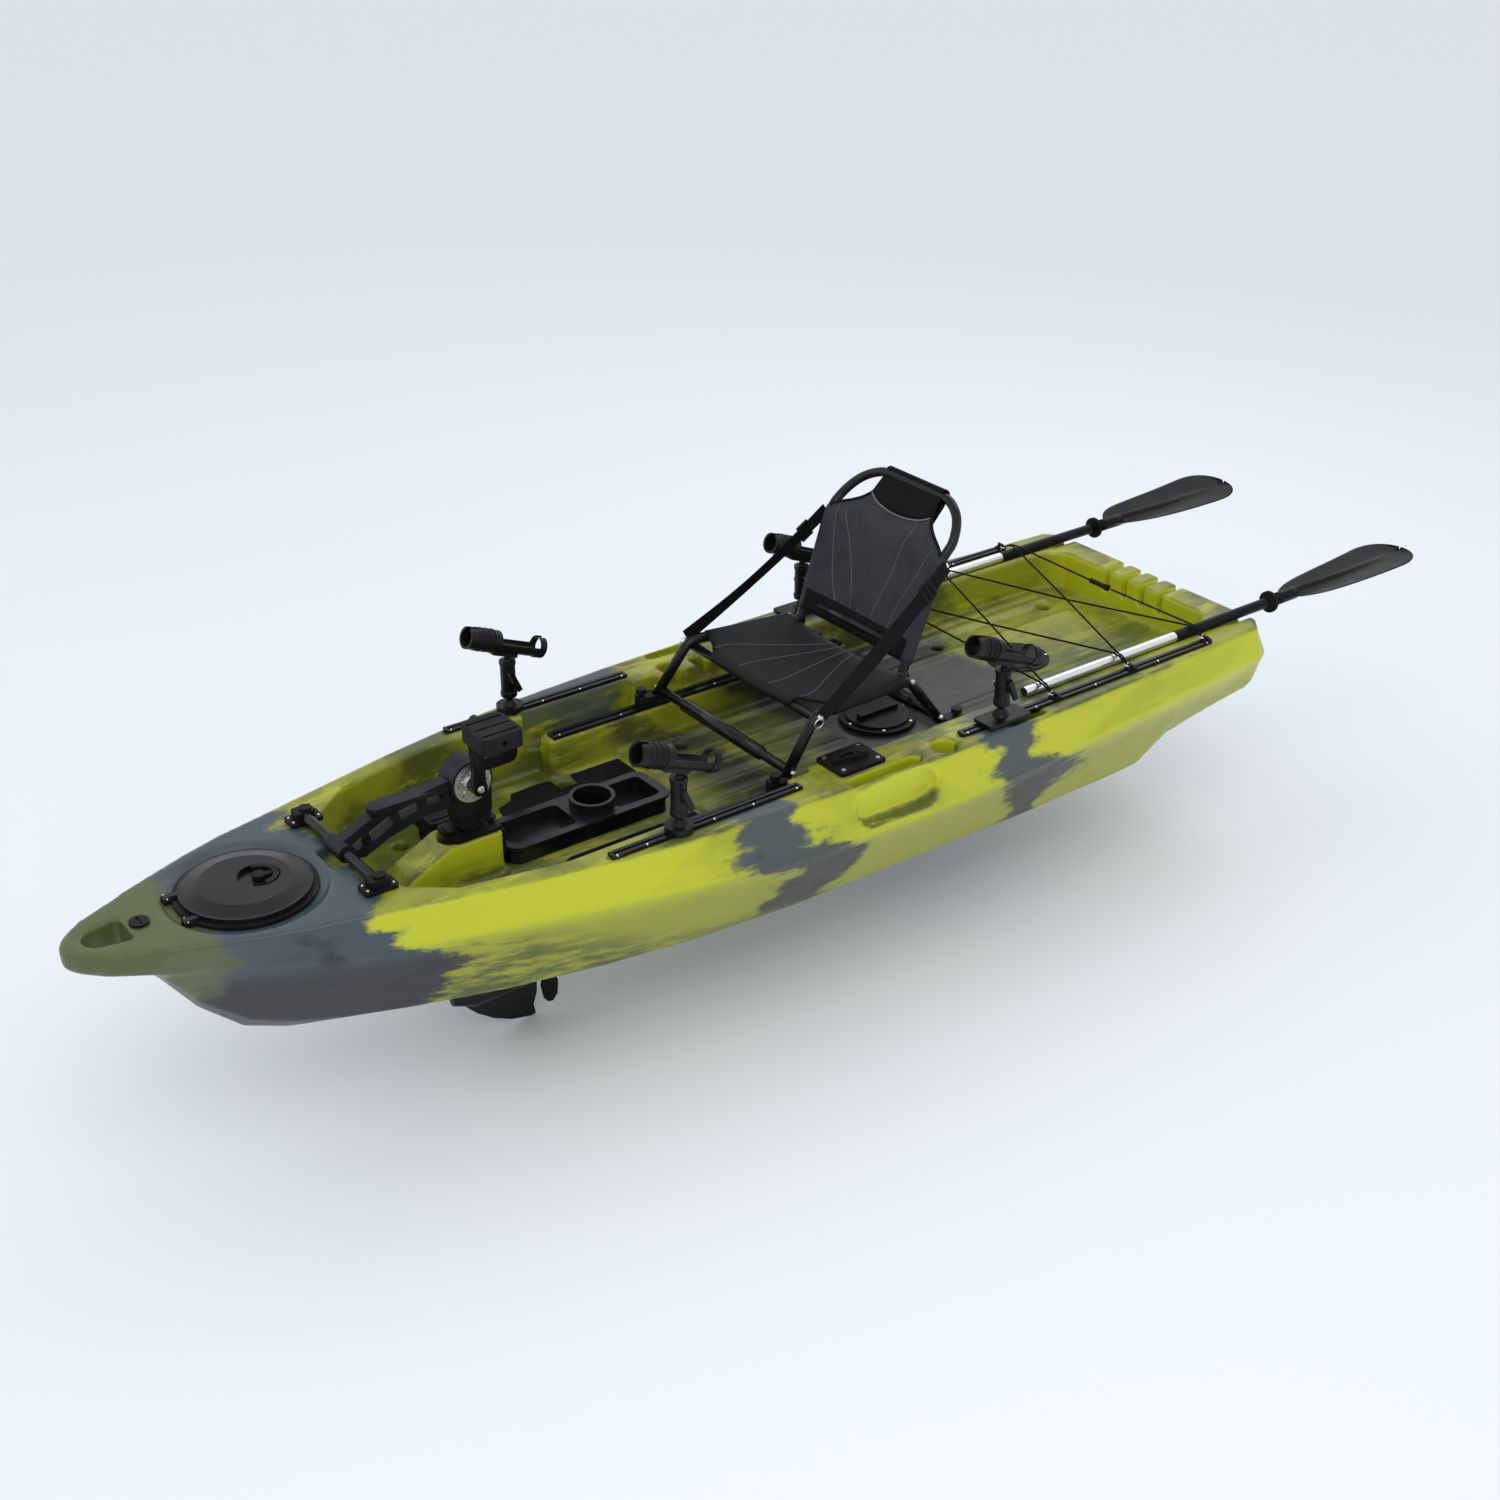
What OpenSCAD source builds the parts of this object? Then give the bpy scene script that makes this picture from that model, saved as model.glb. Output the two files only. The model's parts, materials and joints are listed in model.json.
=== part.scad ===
/* [Hull] */
// Length of the hull, bow tip to transom
hull_len = 3050; // [2700:10:3400]
// Height of the gunwale deck above the keel flat
deck_z = 345; // [300:1:380]
// Height of the foot-well floor
foot_z = 188; // [150:1:230]
// Height of the seat-well floor
seat_z = 205; // [160:1:240]
// Height of the tank-well floor
tank_z = 236; // [200:1:260]
// Radius of the bow hatch lid
bow_lid_r = 135; // [110:1:150]
// Radius of the scupper holes
scupper_r = 17; // [10:1:25]

/* [Tracks] */
// Width of a gear track
track_w = 24; // [18:1:32]
// Height of a track's face above the gunwale
track_up = 5; // [3:1:10]
// Half distance between the seat rails
rail_y = 262; // [240:1:270]

/* [Drive] */
// Position of the crank axle along the hull
crank_x = 626; // [600:1:650]
// Height of the crank axle
crank_z = 425; // [410:1:440]
// Crank length, axle to pedal axle
crank_len = 160; // [140:1:165]
// Radius of the drive leg
leg_r = 22; // [18:1:26]
// Radius of the propeller
prop_r = 106; // [90:1:110]

/* [Seat] */
// Radius of the seat frame tube
tube_r = 12.5; // [10:0.5:14]
// Half width of the seat frame at its front
seat_hw = 245; // [225:1:250]
// Lean of the lower seat back from upright
back_lean = 20; // [10:1:25]

/* [Rod holders] */
// Bore radius of the rod tube
tube_bore = 21; // [18:0.5:24]
// Outer radius of the rod tube
tube_out = 26.5; // [24:0.5:29]
// Rise of the rod tube towards the bow
tube_tilt = 22; // [10:1:35]
// Radius of the mounting balls
ball_r = 12.5; // [10:0.5:14]

/* [Paddles] */
// Radius of the paddle shaft
shaft_r = 14; // [12:0.5:16]
// Width of the paddle blade
blade_w = 180; // [150:1:200]

/* [Hidden] */
$fn = 48;
eps = 0.3;
half = hull_len / 2;

// Hull sections: x, deck half width, knuckle half width and height, chine half width
// and height, bottom half width and height, all for a 3050 hull
SECTIONS = [
  [-1525, 352, 402, 265, 372, 168, 90, 122], [-1490, 392, 420, 267, 378, 160, 92, 116],
  [-1311, 400, 438, 266, 372, 132, 110, 84], [-1210, 406, 446, 264, 362, 104, 130, 56],
  [-1130, 412, 450, 262, 346, 36, 240, 8], [-1060, 416, 456, 260, 340, 26, 250, 0],
  [-746, 427, 464, 242, 336, 18, 255, 0], [-405, 428, 470, 230, 330, 16, 255, 0],
  [0, 410, 460, 233, 322, 16, 245, 0], [250, 393, 436, 242, 300, 16, 222, 0],
  [450, 368, 398, 248, 270, 18, 192, 0], [660, 328, 346, 249, 228, 22, 158, 0],
  [850, 283, 294, 250, 176, 28, 116, 0], [1000, 247, 248, 255, 130, 36, 76, 2],
  [1110, 222, 200, 257, 94, 50, 45, 8], [1195, 195, 158, 258, 68, 76, 24, 34],
  [1280, 162, 118, 262, 46, 140, 14, 112], [1350, 133, 94, 264, 44, 232, 18, 214],
  [1390, 112, 96, 282, 70, 272, 40, 268], [1461, 80, 74, 298, 52, 284, 30, 280],
  [1505, 44, 40, 306, 26, 294, 14, 290], [1525, 14, 12, 316, 8, 306, 4, 302]];

// Fittings laid out along the hull
bar_x = 930;                 // drive cross bar
bar_z = deck_z + 14;
hatch_x = 1141;              // bow hatch centre
round_x = -540;              // round hatch behind the seat
round_z = seat_z + 12;
plate_x = -1019;             // small deck plate
front_y = 346;               // front gear track
rear_y = 378;                // rear gear track
paddle_y = 320;
paddle_z = deck_z + 8;
eye_x = [-1307, -1034, -772];
cup = [309, 0];
rods = [[311, 1], [311, -1], [-592, 1], [-592, -1]];
arm_len = 80;
ball_z = deck_z + 48;
prop_x = 440;
prop_z = -130;
pivot = [-440, 0, 430];      // seat back hinge line
rail_top = 297;
bend_s = 285;                // length of the lower seat back
top_lean = 42;
tray_top = 250;

// Simple helpers
module both() { children(); mirror([0, 1, 0]) children(); }
module rod(p, q, r) {
  v = q - p;
  l = norm(v);
  translate(p) rotate([0, acos(v[2] / l), atan2(v[1], v[0])]) cylinder(r = r, h = l);
}
module chain(pts, r) {
  for (i = [0:len(pts) - 2]) rod(pts[i], pts[i + 1], r);
  for (i = [1:len(pts) - 2]) translate(pts[i]) sphere(r + 0.6);
}
module box(x0, x1, y0, y1, z0, z1) { translate([x0, y0, z0]) cube([x1 - x0, y1 - y0, z1 - z0]); }
module stadium(x0, x1, yc, w, z0, z1) {
  translate([0, yc, z0]) linear_extrude(z1 - z0) {
    translate([x0 + w / 2, -w / 2]) square([x1 - x0 - w, w]);
    for (x = [x0 + w / 2, x1 - w / 2]) translate([x, 0]) circle(w / 2);
  }
}
module rounded(lx, ly, r, h) {
  linear_extrude(h) {
    square([lx - 2 * r, ly], center = true);
    square([lx, ly - 2 * r], center = true);
    for (sx = [-1, 1], sy = [-1, 1])
      translate([sx * (lx / 2 - r), sy * (ly / 2 - r)]) circle(r);
  }
}
module side(y0, y1) { translate([0, y1, 0]) rotate([90, 0, 0]) linear_extrude(y1 - y0) children(); }

// Outer body, lofted through the sections
function ring_pts(s) = let (k = hull_len / 3050, t = deck_z)
  [for (p = [[s[1], t], [s[2], s[3]], [s[4], s[5]], [s[6], s[7]],
      [-s[6], s[7]], [-s[4], s[5]], [-s[2], s[3]], [-s[1], t]]) [s[0] * k, p[0], p[1]]];
module hull_body() {
  n = len(SECTIONS);
  polyhedron(points = [for (s = SECTIONS) each ring_pts(s)],
    faces = concat([for (i = [0:n - 2], j = [0:7])
      let (a = i * 8 + j, b = i * 8 + (j + 1) % 8) each [[a, b + 8, b], [a, a + 8, b + 8]]],
      [[for (j = [0:7]) j]], [[for (j = [7:-1:0]) (n - 1) * 8 + j]]));
}

// Wells cut from the deck
module foot_wells() {
  difference() {
    union() {
      translate([0, 0, foot_z]) linear_extrude(200) polygon(concat(
        [[266, 303], [557, 303], [660, 283], [794, 255], [878, 190], [902, 140]],
        [[902, -140], [878, -190], [794, -255], [660, -283], [557, -303], [266, -303]]));
      box(70, 267, -244, 244, foot_z, deck_z + 9);
    }
    side(-46, 46) polygon([[566, foot_z - 1], [566, 297], [690, 297], [790, 250], [850, foot_z - 1]]);
    box(60, 568, -74, 74, foot_z - 1, 203);
  }
}
module hull_cuts() {
  foot_wells();
  box(-640, 72, -244, 244, seat_z, deck_z + 9);
  // shelves that carry the seat rails
  both() box(-640, 268, 240, 284, rail_top - 8, deck_z + 9);
  both() box(-640, -250, 280, 303, rail_top - 8, deck_z + 9);
  both() box(-85, 268, 280, 303, rail_top - 8, deck_z + 9);
  // tank well
  translate([0, 0, tank_z]) linear_extrude(200)
    polygon([[-639, 292], [-1380, 292], [-1440, 250], [-1440, -250], [-1380, -292], [-639, -292]]);
  // rod pockets beside the tracks
  both() box(-10, 300, 294, 331, deck_z - 95, deck_z + 9);
  both() box(-712, -590, 364, 414, deck_z - 60, deck_z + 9);
  // grooves for tracks and paddles
  both() stadium(-27, 497, front_y, track_w + 0.6, deck_z - 8, deck_z + 9);
  both() stadium(-1329, -455, rear_y, track_w + 0.6, deck_z - 8, deck_z + 9);
  both() translate([-1600, paddle_y, paddle_z]) rotate([0, 90, 0]) cylinder(r = shaft_r + 2, h = 880);
  both() box(-1600, -1439, paddle_y - 20, paddle_y + 20, deck_z - 26, deck_z + 9);
  // strap notches in the stern wall
  for (y = [-96, -32, 32, 96]) box(-1600, -1430, y - 9, y + 9, deck_z - 60, deck_z + 9);
  box(-1600, -1500, -110, 110, 100, 250);
  // gunwale slots, cup holes and carrying recesses
  both() stadium(-325, -112, 398, 34, deck_z - 60, deck_z + 9);
  both() translate([-403, 392, deck_z - 70]) cylinder(r = 33, h = 90);
  both() translate([-224, 0, deck_z - 52]) rotate([-90, 0, 0]) translate([0, 0, 426])
    linear_extrude(90) { square([150, 84], center = true); for (s = [-1, 1]) translate([s * 75, 0]) circle(42); }
  // tool notches on the starboard gunwale
  box(-152, -102, -346, -280, deck_z - 70, deck_z + 9);
  box(-230, -192, -332, -280, deck_z - 45, deck_z + 9);
  // bow hatch, carrying eye, plug
  translate([hatch_x, 0, deck_z - 12]) cylinder(r = bow_lid_r + 34, h = 30);
  translate([hatch_x, 0, 150]) cylinder(r = 112, h = 300);
  translate([0, 0, 200]) linear_extrude(200) {
    translate([1448, 0]) circle(33);
    polygon([[1393, 38], [1398, 44], [1454, 32], [1454, -32], [1398, -44], [1393, -38]]);
  }
  translate([1366, 0, deck_z - 30]) cylinder(r = 14, h = 60);
  // hatches in the wells
  translate([round_x, 0, 60]) cylinder(r = 78, h = 300);
  translate([plate_x, 0, 150]) cylinder(r = 68, h = 300);
  // drive slot, arm notch and scuppers
  box(860, 966, -42, 42, 318, deck_z + 9);
  stadium(330, 700, 0, 66, -9, 320);
  for (p = [[700, 190, 60], [250, 210, 60], [-60, 176, 60], [-593, 170, 60], [-891, 170, 60], [-1300, 190, 60]])
    both() translate([p[0], p[1], -9]) cylinder(r = scupper_r, h = 300);
}
module hull() { color("yellowgreen") difference() { hull_body(); hull_cuts(); } }

module bow_plug() { color([0.05, 0.05, 0.05]) translate([1366, 0, 0]) {
  translate([0, 0, deck_z - 18]) cylinder(r = 13.7, h = 18.1);
  difference() {
    translate([0, 0, deck_z + 0.1]) cylinder(r = 20, h = 5);
    translate([-3, -14, deck_z + 2]) cube([6, 28, 9]);
  }
} }

// Slotted gear track, cut for sliding bases
module track(x0, x1, y) {
  difference() {
    box(x0, x1, y - track_w / 2, y + track_w / 2, deck_z - 7.9, deck_z + track_up);
    box(x0 + 6, x1 - 6, y - 3.5, y + 3.5, deck_z - 5, deck_z + 20);
    box(x0 + 6, x1 - 6, y - 7, y + 7, deck_z - 5, deck_z + 1);
  }
}
module front_tracks() { color([0.06, 0.06, 0.06]) both() track(-15, 485, front_y); }
module rear_tracks() { color([0.06, 0.06, 0.06]) both() track(-1317, -467, rear_y); }
module seat_rails() { color([0.06, 0.06, 0.06]) both() difference() {
  box(-625, 253, rail_y - 15, rail_y + 15, rail_top - 7.9, rail_top);
  box(-619, 247, rail_y - 4, rail_y + 4, rail_top - 5, rail_top + 5);
} }
module foot_pads() { color([0.09, 0.09, 0.09]) both() translate([0, 0, foot_z + 0.1]) linear_extrude(6)
  polygon([[85, 84], [85, 232], [222, 232], [226, 188], [274, 188], [278, 234], [310, 240], [385, 236], [400, 210], [440, 196], [452, 150],
    [452, 100], [425, 84]]); }

module pad_eyes() { color([0.05, 0.05, 0.05]) both() for (x = eye_x)
  difference() {
    union() {
      translate([x, rear_y, deck_z + track_up + 0.1]) rounded(26, 20, 3, 3);
      translate([x, rear_y, deck_z + track_up + 0.1]) rounded(7, 20, 2, 11);
    }
    translate([x, rear_y - 4, deck_z + track_up + 5]) rotate([0, 90, 0]) cylinder(r = 3.2, h = 40, center = true);
  }
}
module eye_rings() { color([0.75, 0.75, 0.75]) both() for (x = eye_x)
  translate([x, rear_y - 12.2, deck_z + track_up + 5]) rotate_extrude()
    translate([8.4, 0]) circle(1.6, $fn = 16); }

// Elastic cord laced through the six rings in one closed run
cord_r = 2.5;
cord_z = paddle_z + shaft_r + 5;
function hook(x, s, e) = [[x - e * 5, s * 322, cord_z], [x - e * 4, s * 342, cord_z - 3],
  [x - e * 3, s * 356, deck_z + 15], [x, s * 361, deck_z + 13], [x + e * 3, s * 356, deck_z + 15],
  [x + e * 4, s * 342, cord_z - 3], [x + e * 5, s * 322, cord_z]];
CORD = concat(hook(eye_x[0], 1, -1), [[-1307, 0, cord_z]], hook(eye_x[0], -1, 1),
  [[-1172, -6, cord_z + 4]], hook(eye_x[1], 1, 1), [[-903, 6, cord_z - 4]],
  hook(eye_x[2], -1, 1), [[-772, 0, cord_z]], hook(eye_x[2], 1, -1),
  [[-903, -6, cord_z + 4]], hook(eye_x[1], -1, -1), [[-1168, 6, cord_z - 4]]);
function unit(v) = v / norm(v);
module bungee() {
  n = len(CORD);
  k = 8;
  color([0.04, 0.04, 0.04]) polyhedron(
    points = [for (i = [0:n - 1]) let (t = unit(unit(CORD[(i + 1) % n] - CORD[i])
        + unit(CORD[i] - CORD[(i + n - 1) % n])), u = unit(cross([0, 0, 1], t)), w = cross(t, u))
      each [for (j = [0:k - 1]) CORD[i] + cord_r * (cos(360 * j / k) * u + sin(360 * j / k) * w)]],
    faces = [for (i = [0:n - 1], j = [0:k - 1]) let (a = i * k + j, b = i * k + (j + 1) % k,
        c = ((i + 1) % n) * k + j, d = ((i + 1) % n) * k + (j + 1) % k) each [[a, b, d], [a, d, c]]]);
}
module cord_lock() { color([0.05, 0.05, 0.05]) difference() {
  union() {
    rod([-1307, -30, cord_z], [-1307, 22, cord_z], 7);
    translate([-1307, 34, cord_z]) rotate([90, 0, 0]) cylinder(r = 9, h = 12);
  }
  rod([-1307, -40, cord_z], [-1307, 44, cord_z], cord_r + 0.3);
} }

module deck_plate() { color([0.07, 0.07, 0.07]) translate([plate_x, 0, tank_z + 0.1]) {
  cylinder(r = 84, h = 4);
  translate([0, 0, 4]) cylinder(r = 70, h = 2);
} }
module deck_screws() { color([0.8, 0.8, 0.8]) {
  for (a = [30, 150, 270]) translate([plate_x + 77 * cos(a), 77 * sin(a), tank_z + 4.1]) cylinder(r = 4, h = 2);
  for (a = [0:60:300]) translate([round_x + 88 * cos(a), 88 * sin(a), round_z - 0.9]) cylinder(r = 4, h = 2);
  for (x = [-228, -128], y = [292, 362]) translate([x, y, deck_z + 9.1]) cylinder(r = 5, h = 2.5);
} }
module hatch_rim() { color([0.06, 0.06, 0.06]) translate([round_x, 0, seat_z + 0.1]) difference() {
  union() { cylinder(r = 97, h = 11); }
  translate([0, 0, -1]) cylinder(r = 76, h = 20);
} }
module round_lid() { color([0.08, 0.08, 0.08]) translate([round_x, 0, 0]) difference() {
  union() {
    translate([0, 0, seat_z - 8]) cylinder(r = 75.7, h = 22);
    translate([0, 0, seat_z + 11.6]) cylinder(r = 81, h = 5);
    translate([0, 0, seat_z + 14]) box(-60, 60, -9, 9, 0, 14);
  }
  translate([0, 0, seat_z - 10]) cylinder(r = 70, h = 18);
} }
module bow_hatch_rim() { color([0.06, 0.06, 0.06]) translate([hatch_x, 0, deck_z - 11.9]) {
  difference() {
    union() { cylinder(r = bow_lid_r + 12, h = 9); for (s = [-1, 1]) box(131, 156, s * 52 - 10, s * 52 + 10, 0, 14); }
    translate([0, 0, -1]) cylinder(r = 116, h = 30);
    for (s = [-1, 1]) box(126, 170, s * 52 - 6.2, s * 52 + 6.2, 3.4, 30);
    rod([149, -70, 10], [149, 70, 10], 3.05);
  }
} }
module bow_lid() { color([0.05, 0.05, 0.05]) difference() {
  union() {
    translate([hatch_x, 0, deck_z - 2.5]) cylinder(r = bow_lid_r, h = 9);
    translate([hatch_x, 0, deck_z + 6.4]) cylinder(r1 = bow_lid_r - 6, r2 = bow_lid_r - 40, h = 9);
    for (s = [-1, 1]) {
      box(hatch_x + 120, hatch_x + 149, s * 52 - 5.8, s * 52 + 5.8, deck_z - 2.2, deck_z + 4);
      rod([hatch_x + 149, s * 52 - 5.8, deck_z - 1.9], [hatch_x + 149, s * 52 + 5.8, deck_z - 1.9], 5.9);
      rod([hatch_x + 149, s * 52 - 9.8, deck_z - 1.9], [hatch_x + 149, s * 52 + 9.8, deck_z - 1.9], 3);
    }
  }
  translate([hatch_x - 30, 0, deck_z + 6]) cylinder(r = 44, h = 20);
} }
module lid_latch() { color([0.03, 0.03, 0.03]) translate([hatch_x - 30, 0, deck_z + 6.6]) {
  cylinder(r = 14, h = 12);
  difference() {
    cylinder(r = 41, h = 11);
    translate([0, 0, -1]) cylinder(r = 29, h = 20);
    box(0, 60, -60, 60, -1, 20);
  }
  box(-34, 0, -7, 7, 0, 8);
} }

// Rudder control: plate on the port gunwale and its lever
module control_plate() { color([0.1, 0.1, 0.1]) difference() {
  translate([-178, 327, deck_z + 0.1]) rounded(130, 96, 6, 9);
  for (x = [-228, -128], y = [292, 362]) translate([x, y, deck_z - 1]) cylinder(r = 2.6, h = 30);
} }
module control_lever() { color([0.14, 0.14, 0.14]) translate([-208, 327, deck_z + 9.4]) difference() {
  union() {
    cylinder(r = 17, h = 15);
    translate([0, 0, 4]) linear_extrude(9) polygon([[-4, -16], [8, -15], [84, -6], [88, 0], [84, 6], [8, 15], [-4, 16]]);
  }
  linear_extrude(20) polygon([[24, -8], [68, -2.5], [68, 2.5], [24, 8]]);
} }

// Drive: brackets on the hull, bar, arm, housing, leg, gear case
module bar_brackets() { color([0.05, 0.05, 0.05]) both() difference() {
  union() {
    translate([bar_x, 168, deck_z + 0.1]) rounded(74, 46, 8, 10);
    translate([bar_x, 168, deck_z + 5]) rounded(44, 34, 6, 23);
    translate([bar_x - 4, 168, deck_z + 27]) cylinder(r = 13, h = 6);
  }
  rod([bar_x, 130, bar_z], [bar_x, 176, bar_z], 12.55);
} }
module cross_bar() { color([0.05, 0.05, 0.05]) rod([bar_x, -174, bar_z], [bar_x, 174, bar_z], 12.5); }
module drive_arm() { color([0.12, 0.13, 0.15]) difference() {
  union() {
    side(-15, 15) difference() {
      polygon([[942, 342], [946, 372], [918, 384], [880, 402], [850, 414], [676, 440], [668, 380],
        [740, 372], [820, 352], [880, 326], [916, 332]]);
      polygon([[868, 382], [812, 406], [806, 382], [862, 354]]);
      polygon([[798, 407], [744, 417], [740, 395], [792, 385]]);
      polygon([[731, 419], [688, 426], [686, 400], [727, 397]]);
      polygon([[884, 376], [872, 352], [902, 348], [914, 364]]);
    }
    // lifting handle, a flat bar with a round end
    translate([0, 0, 418]) {
      linear_extrude(12) { translate([668, -21]) square([172, 42]); translate([840, 0]) circle(21); }
    }
    rod([bar_x, -34, bar_z], [bar_x, 34, bar_z], 20);
  }
  rod([bar_x, -60, bar_z], [bar_x, 60, bar_z], 12.5);
  rod([crank_x, -40, crank_z], [crank_x, 40, crank_z], 50.1);
} }
module drive_housing() { color([0.05, 0.05, 0.05]) difference() {
  union() {
    rod([crank_x, -29, crank_z], [crank_x, 29, crank_z], 50);
    side(-26, 26) polygon([[588, 318], [580, 352], [577, 425], [664, 425], [664, 352], [656, 318]]);
    rod([crank_x, 0, 310], [crank_x, 0, 345], 30);
  }
  rod([crank_x, -60, crank_z], [crank_x, 60, crank_z], 8.55);
} }
module hub_discs() { color([0.8, 0.8, 0.82]) both() difference() {
  union() {
    rod([crank_x, 29.05, crank_z], [crank_x, 32, crank_z], 44.5);
    rod([crank_x, 31.9, crank_z], [crank_x, 38, crank_z], 20);
  }
  rod([crank_x, 20, crank_z], [crank_x, 50, crank_z], 8.55);
  for (a = [0:45:315]) translate([crank_x + 35 * cos(a), 20, crank_z + 35 * sin(a)])
    rotate([-90, 0, 0]) cylinder(r = 2, h = 30);
} }
module drive_leg() { color([0.06, 0.06, 0.07]) rod([crank_x, 0, -112], [crank_x, 0, 309.9], leg_r); }
module gear_case() { color([0.05, 0.05, 0.06]) {
  difference() {
    union() {
      translate([470, 0, prop_z]) rotate([0, 90, 0]) cylinder(r1 = 24, r2 = 31, h = 60);
      translate([530, 0, prop_z]) rotate([0, 90, 0]) cylinder(r = 31, h = 120);
      translate([650, 0, prop_z]) rotate([0, 90, 0]) cylinder(r1 = 31, r2 = 12, h = 50);
    }
    rod([crank_x, 0, -112.1], [crank_x, 0, -60], leg_r);
    rod([460, 0, prop_z], [530, 0, prop_z], 8.05);
  }
  // swept fin under the gear case
  side(-5, 5) polygon([[672, -152], [640, -186], [600, -216], [552, -240], [500, -252], [488, -250],
    [492, -222], [482, -190], [480, -152]]);
} }
module propeller() { color([0.05, 0.05, 0.05]) {
  rod([448, 0, prop_z], [528, 0, prop_z], 8);
  translate([466, 0, prop_z]) rotate([0, -90, 0]) cylinder(r1 = 23, r2 = 12, h = 44);
  for (a = [0, 180]) translate([446, 0, prop_z]) rotate([a, 0, 0])
    rotate([0, 0, 28]) translate([0, -2.5, 0]) side(0, 5)
      polygon([[-8, 8], [-22, 50], [-19, 84], [-8, prop_r - 2], [4, prop_r], [14, 94], [20, 60], [10, 8]]);
} }
module drive_collar() { color([0.05, 0.05, 0.05]) difference() {
  union() {
    translate([crank_x, 0, 297.1]) cylinder(r = 42, h = 10);
    translate([crank_x, 0, 297.1]) rounded(118, 88, 14, 7);
  }
  translate([crank_x, 0, 290]) cylinder(r = leg_r + 1.2, h = 30);
} }
module collar_clamps() { color([0.04, 0.04, 0.04]) for (x = [crank_x - 52, crank_x + 52])
  translate([x, 0, 304.2]) { cylinder(r = 9, h = 8); translate([0, 0, 8]) rounded(16, 40, 6, 5); } }

module console_tray() { color([0.05, 0.05, 0.05]) difference() {
  union() {
    translate([345, 0, 205]) rounded(416, 124, 24, tray_top - 205);
    translate([345, 0, tray_top - 7]) rounded(430, 142, 30, 7);
    translate([cup[0], 0, tray_top - 1]) cylinder(r = 53, h = 25);
  }
  difference() {
    union() {
      translate([212, 0, 212]) rounded(118, 100, 16, 60);
      translate([462, 0, 222]) rounded(170, 100, 16, 60);
    }
    translate([cup[0], 0, 200]) cylinder(r = 53, h = 90);
  }
  translate([cup[0], 0, 210]) cylinder(r = 44, h = 90);
} }
module console_clip() { color([0.03, 0.03, 0.03]) {
  box(560.4, 565.7, -44, 44, 232, 292);
  box(560.4, 563, -30, 30, 228, 296);
} }

// Cranks and pedals, the port crank up
module crank_arms() { color([0.05, 0.05, 0.05]) for (s = [1, -1]) {
  rod([crank_x, -s, crank_z], [crank_x, s * 50, crank_z], 8.5);
  rod([crank_x, s * 39, crank_z], [crank_x, s * 66, crank_z], 17);
  rod([crank_x, s * 52, crank_z + s * crank_len], [crank_x, s * 66, crank_z + s * crank_len], 13);
  side(s > 0 ? 51 : -65, s > 0 ? 65 : -51) polygon([[crank_x - 15, crank_z], [crank_x + 15, crank_z],
    [crank_x + 11, crank_z + s * crank_len], [crank_x - 11, crank_z + s * crank_len]]);
  rod([crank_x, s * 65, crank_z + s * crank_len], [crank_x, s * 172, crank_z + s * crank_len], 6);
} }
module pedal(s) { translate([crank_x, s * 129, crank_z + s * crank_len]) difference() {
  translate([0, 0, -19]) rounded(96, 100, 12, 38);
  rotate([90, 0, 0]) cylinder(r = 6.1, h = 120, center = true);
  for (y = [-33, 0, 33]) translate([0, y, 15]) cube([84, 6, 12], center = true);
} }
module strap(s, drop) { translate([crank_x, s * 129, crank_z + s * crank_len]) side(-24, 24) difference() {
  union() { translate([-46, -drop + 20]) square([92, drop - 39.2]); translate([-26, -drop]) square([52, 30]);
    for (k = [-1, 1]) translate([k * 26, -drop + 20]) circle(20); }
  union() { translate([-43, -drop + 20]) square([86, drop]); translate([-26, -drop + 3]) square([52, 30]);
    for (k = [-1, 1]) translate([k * 26, -drop + 20]) circle(17); }
} }
module pedal_port() { color([0.1, 0.1, 0.1]) pedal(1); }
module pedal_starboard() { color([0.1, 0.1, 0.1]) pedal(-1); }
module strap_port() { color([0.03, 0.03, 0.03]) strap(1, 66); }
module strap_starboard() { color([0.03, 0.03, 0.03]) strap(-1, 62); }

// Seat: tube frame on four rail clamps
foot_f = [-44, 256, 312];
foot_r = [-520, 246, 312];
bend_f = [-139, seat_hw, 441];
bend_r = [-440, 219, 430];
module seat_frame() { color([0.04, 0.04, 0.04]) {
  both() chain([foot_f, bend_f, bend_r, foot_r], tube_r);
  both() rod(foot_f, [foot_f[0] + 14, foot_f[1], foot_f[2] - 2], tube_r - 2);
  for (p = [[-58, 254, 328], [-512, 244, 326]]) {
    rod([p[0], -p[1], p[2]], [p[0], p[1], p[2]], tube_r - 1);
    rod([p[0], -150, p[2]], [p[0], 150, p[2]], tube_r + 4);
  }
  rod([-150, -seat_hw, 424], [-150, seat_hw, 424], tube_r - 1.5);
} }
module seat_clamps() { color([0.05, 0.05, 0.05]) for (x = [-22, -546]) both() difference() {
  union() {
    translate([x, rail_y, rail_top + 0.4]) rounded(52, 34, 5, 24);
    box(x - 22, x + 22, rail_y - 3.3, rail_y + 3.3, rail_top - 4.6, rail_top + 1);
  }
  chain([foot_f, bend_f], tube_r + 0.05);
  rod(foot_f, [foot_f[0] + 14, foot_f[1], foot_f[2] - 2], tube_r - 1.95);
  rod(foot_r, bend_r, tube_r + 0.05);
  rod([-58, -254, 328], [-58, 254, 328], tube_r - 0.95);
  rod([-512, -244, 326], [-512, 244, 326], tube_r - 0.95);
} }
module seat_knobs() { color([0.03, 0.03, 0.03]) for (x = [-10, -556]) both() {
  translate([x, rail_y + 4, rail_top + 24.5]) cylinder(r = 6, h = 8);
  translate([x, rail_y + 4, rail_top + 32]) cylinder(r = 13, h = 12);
} }
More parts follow.
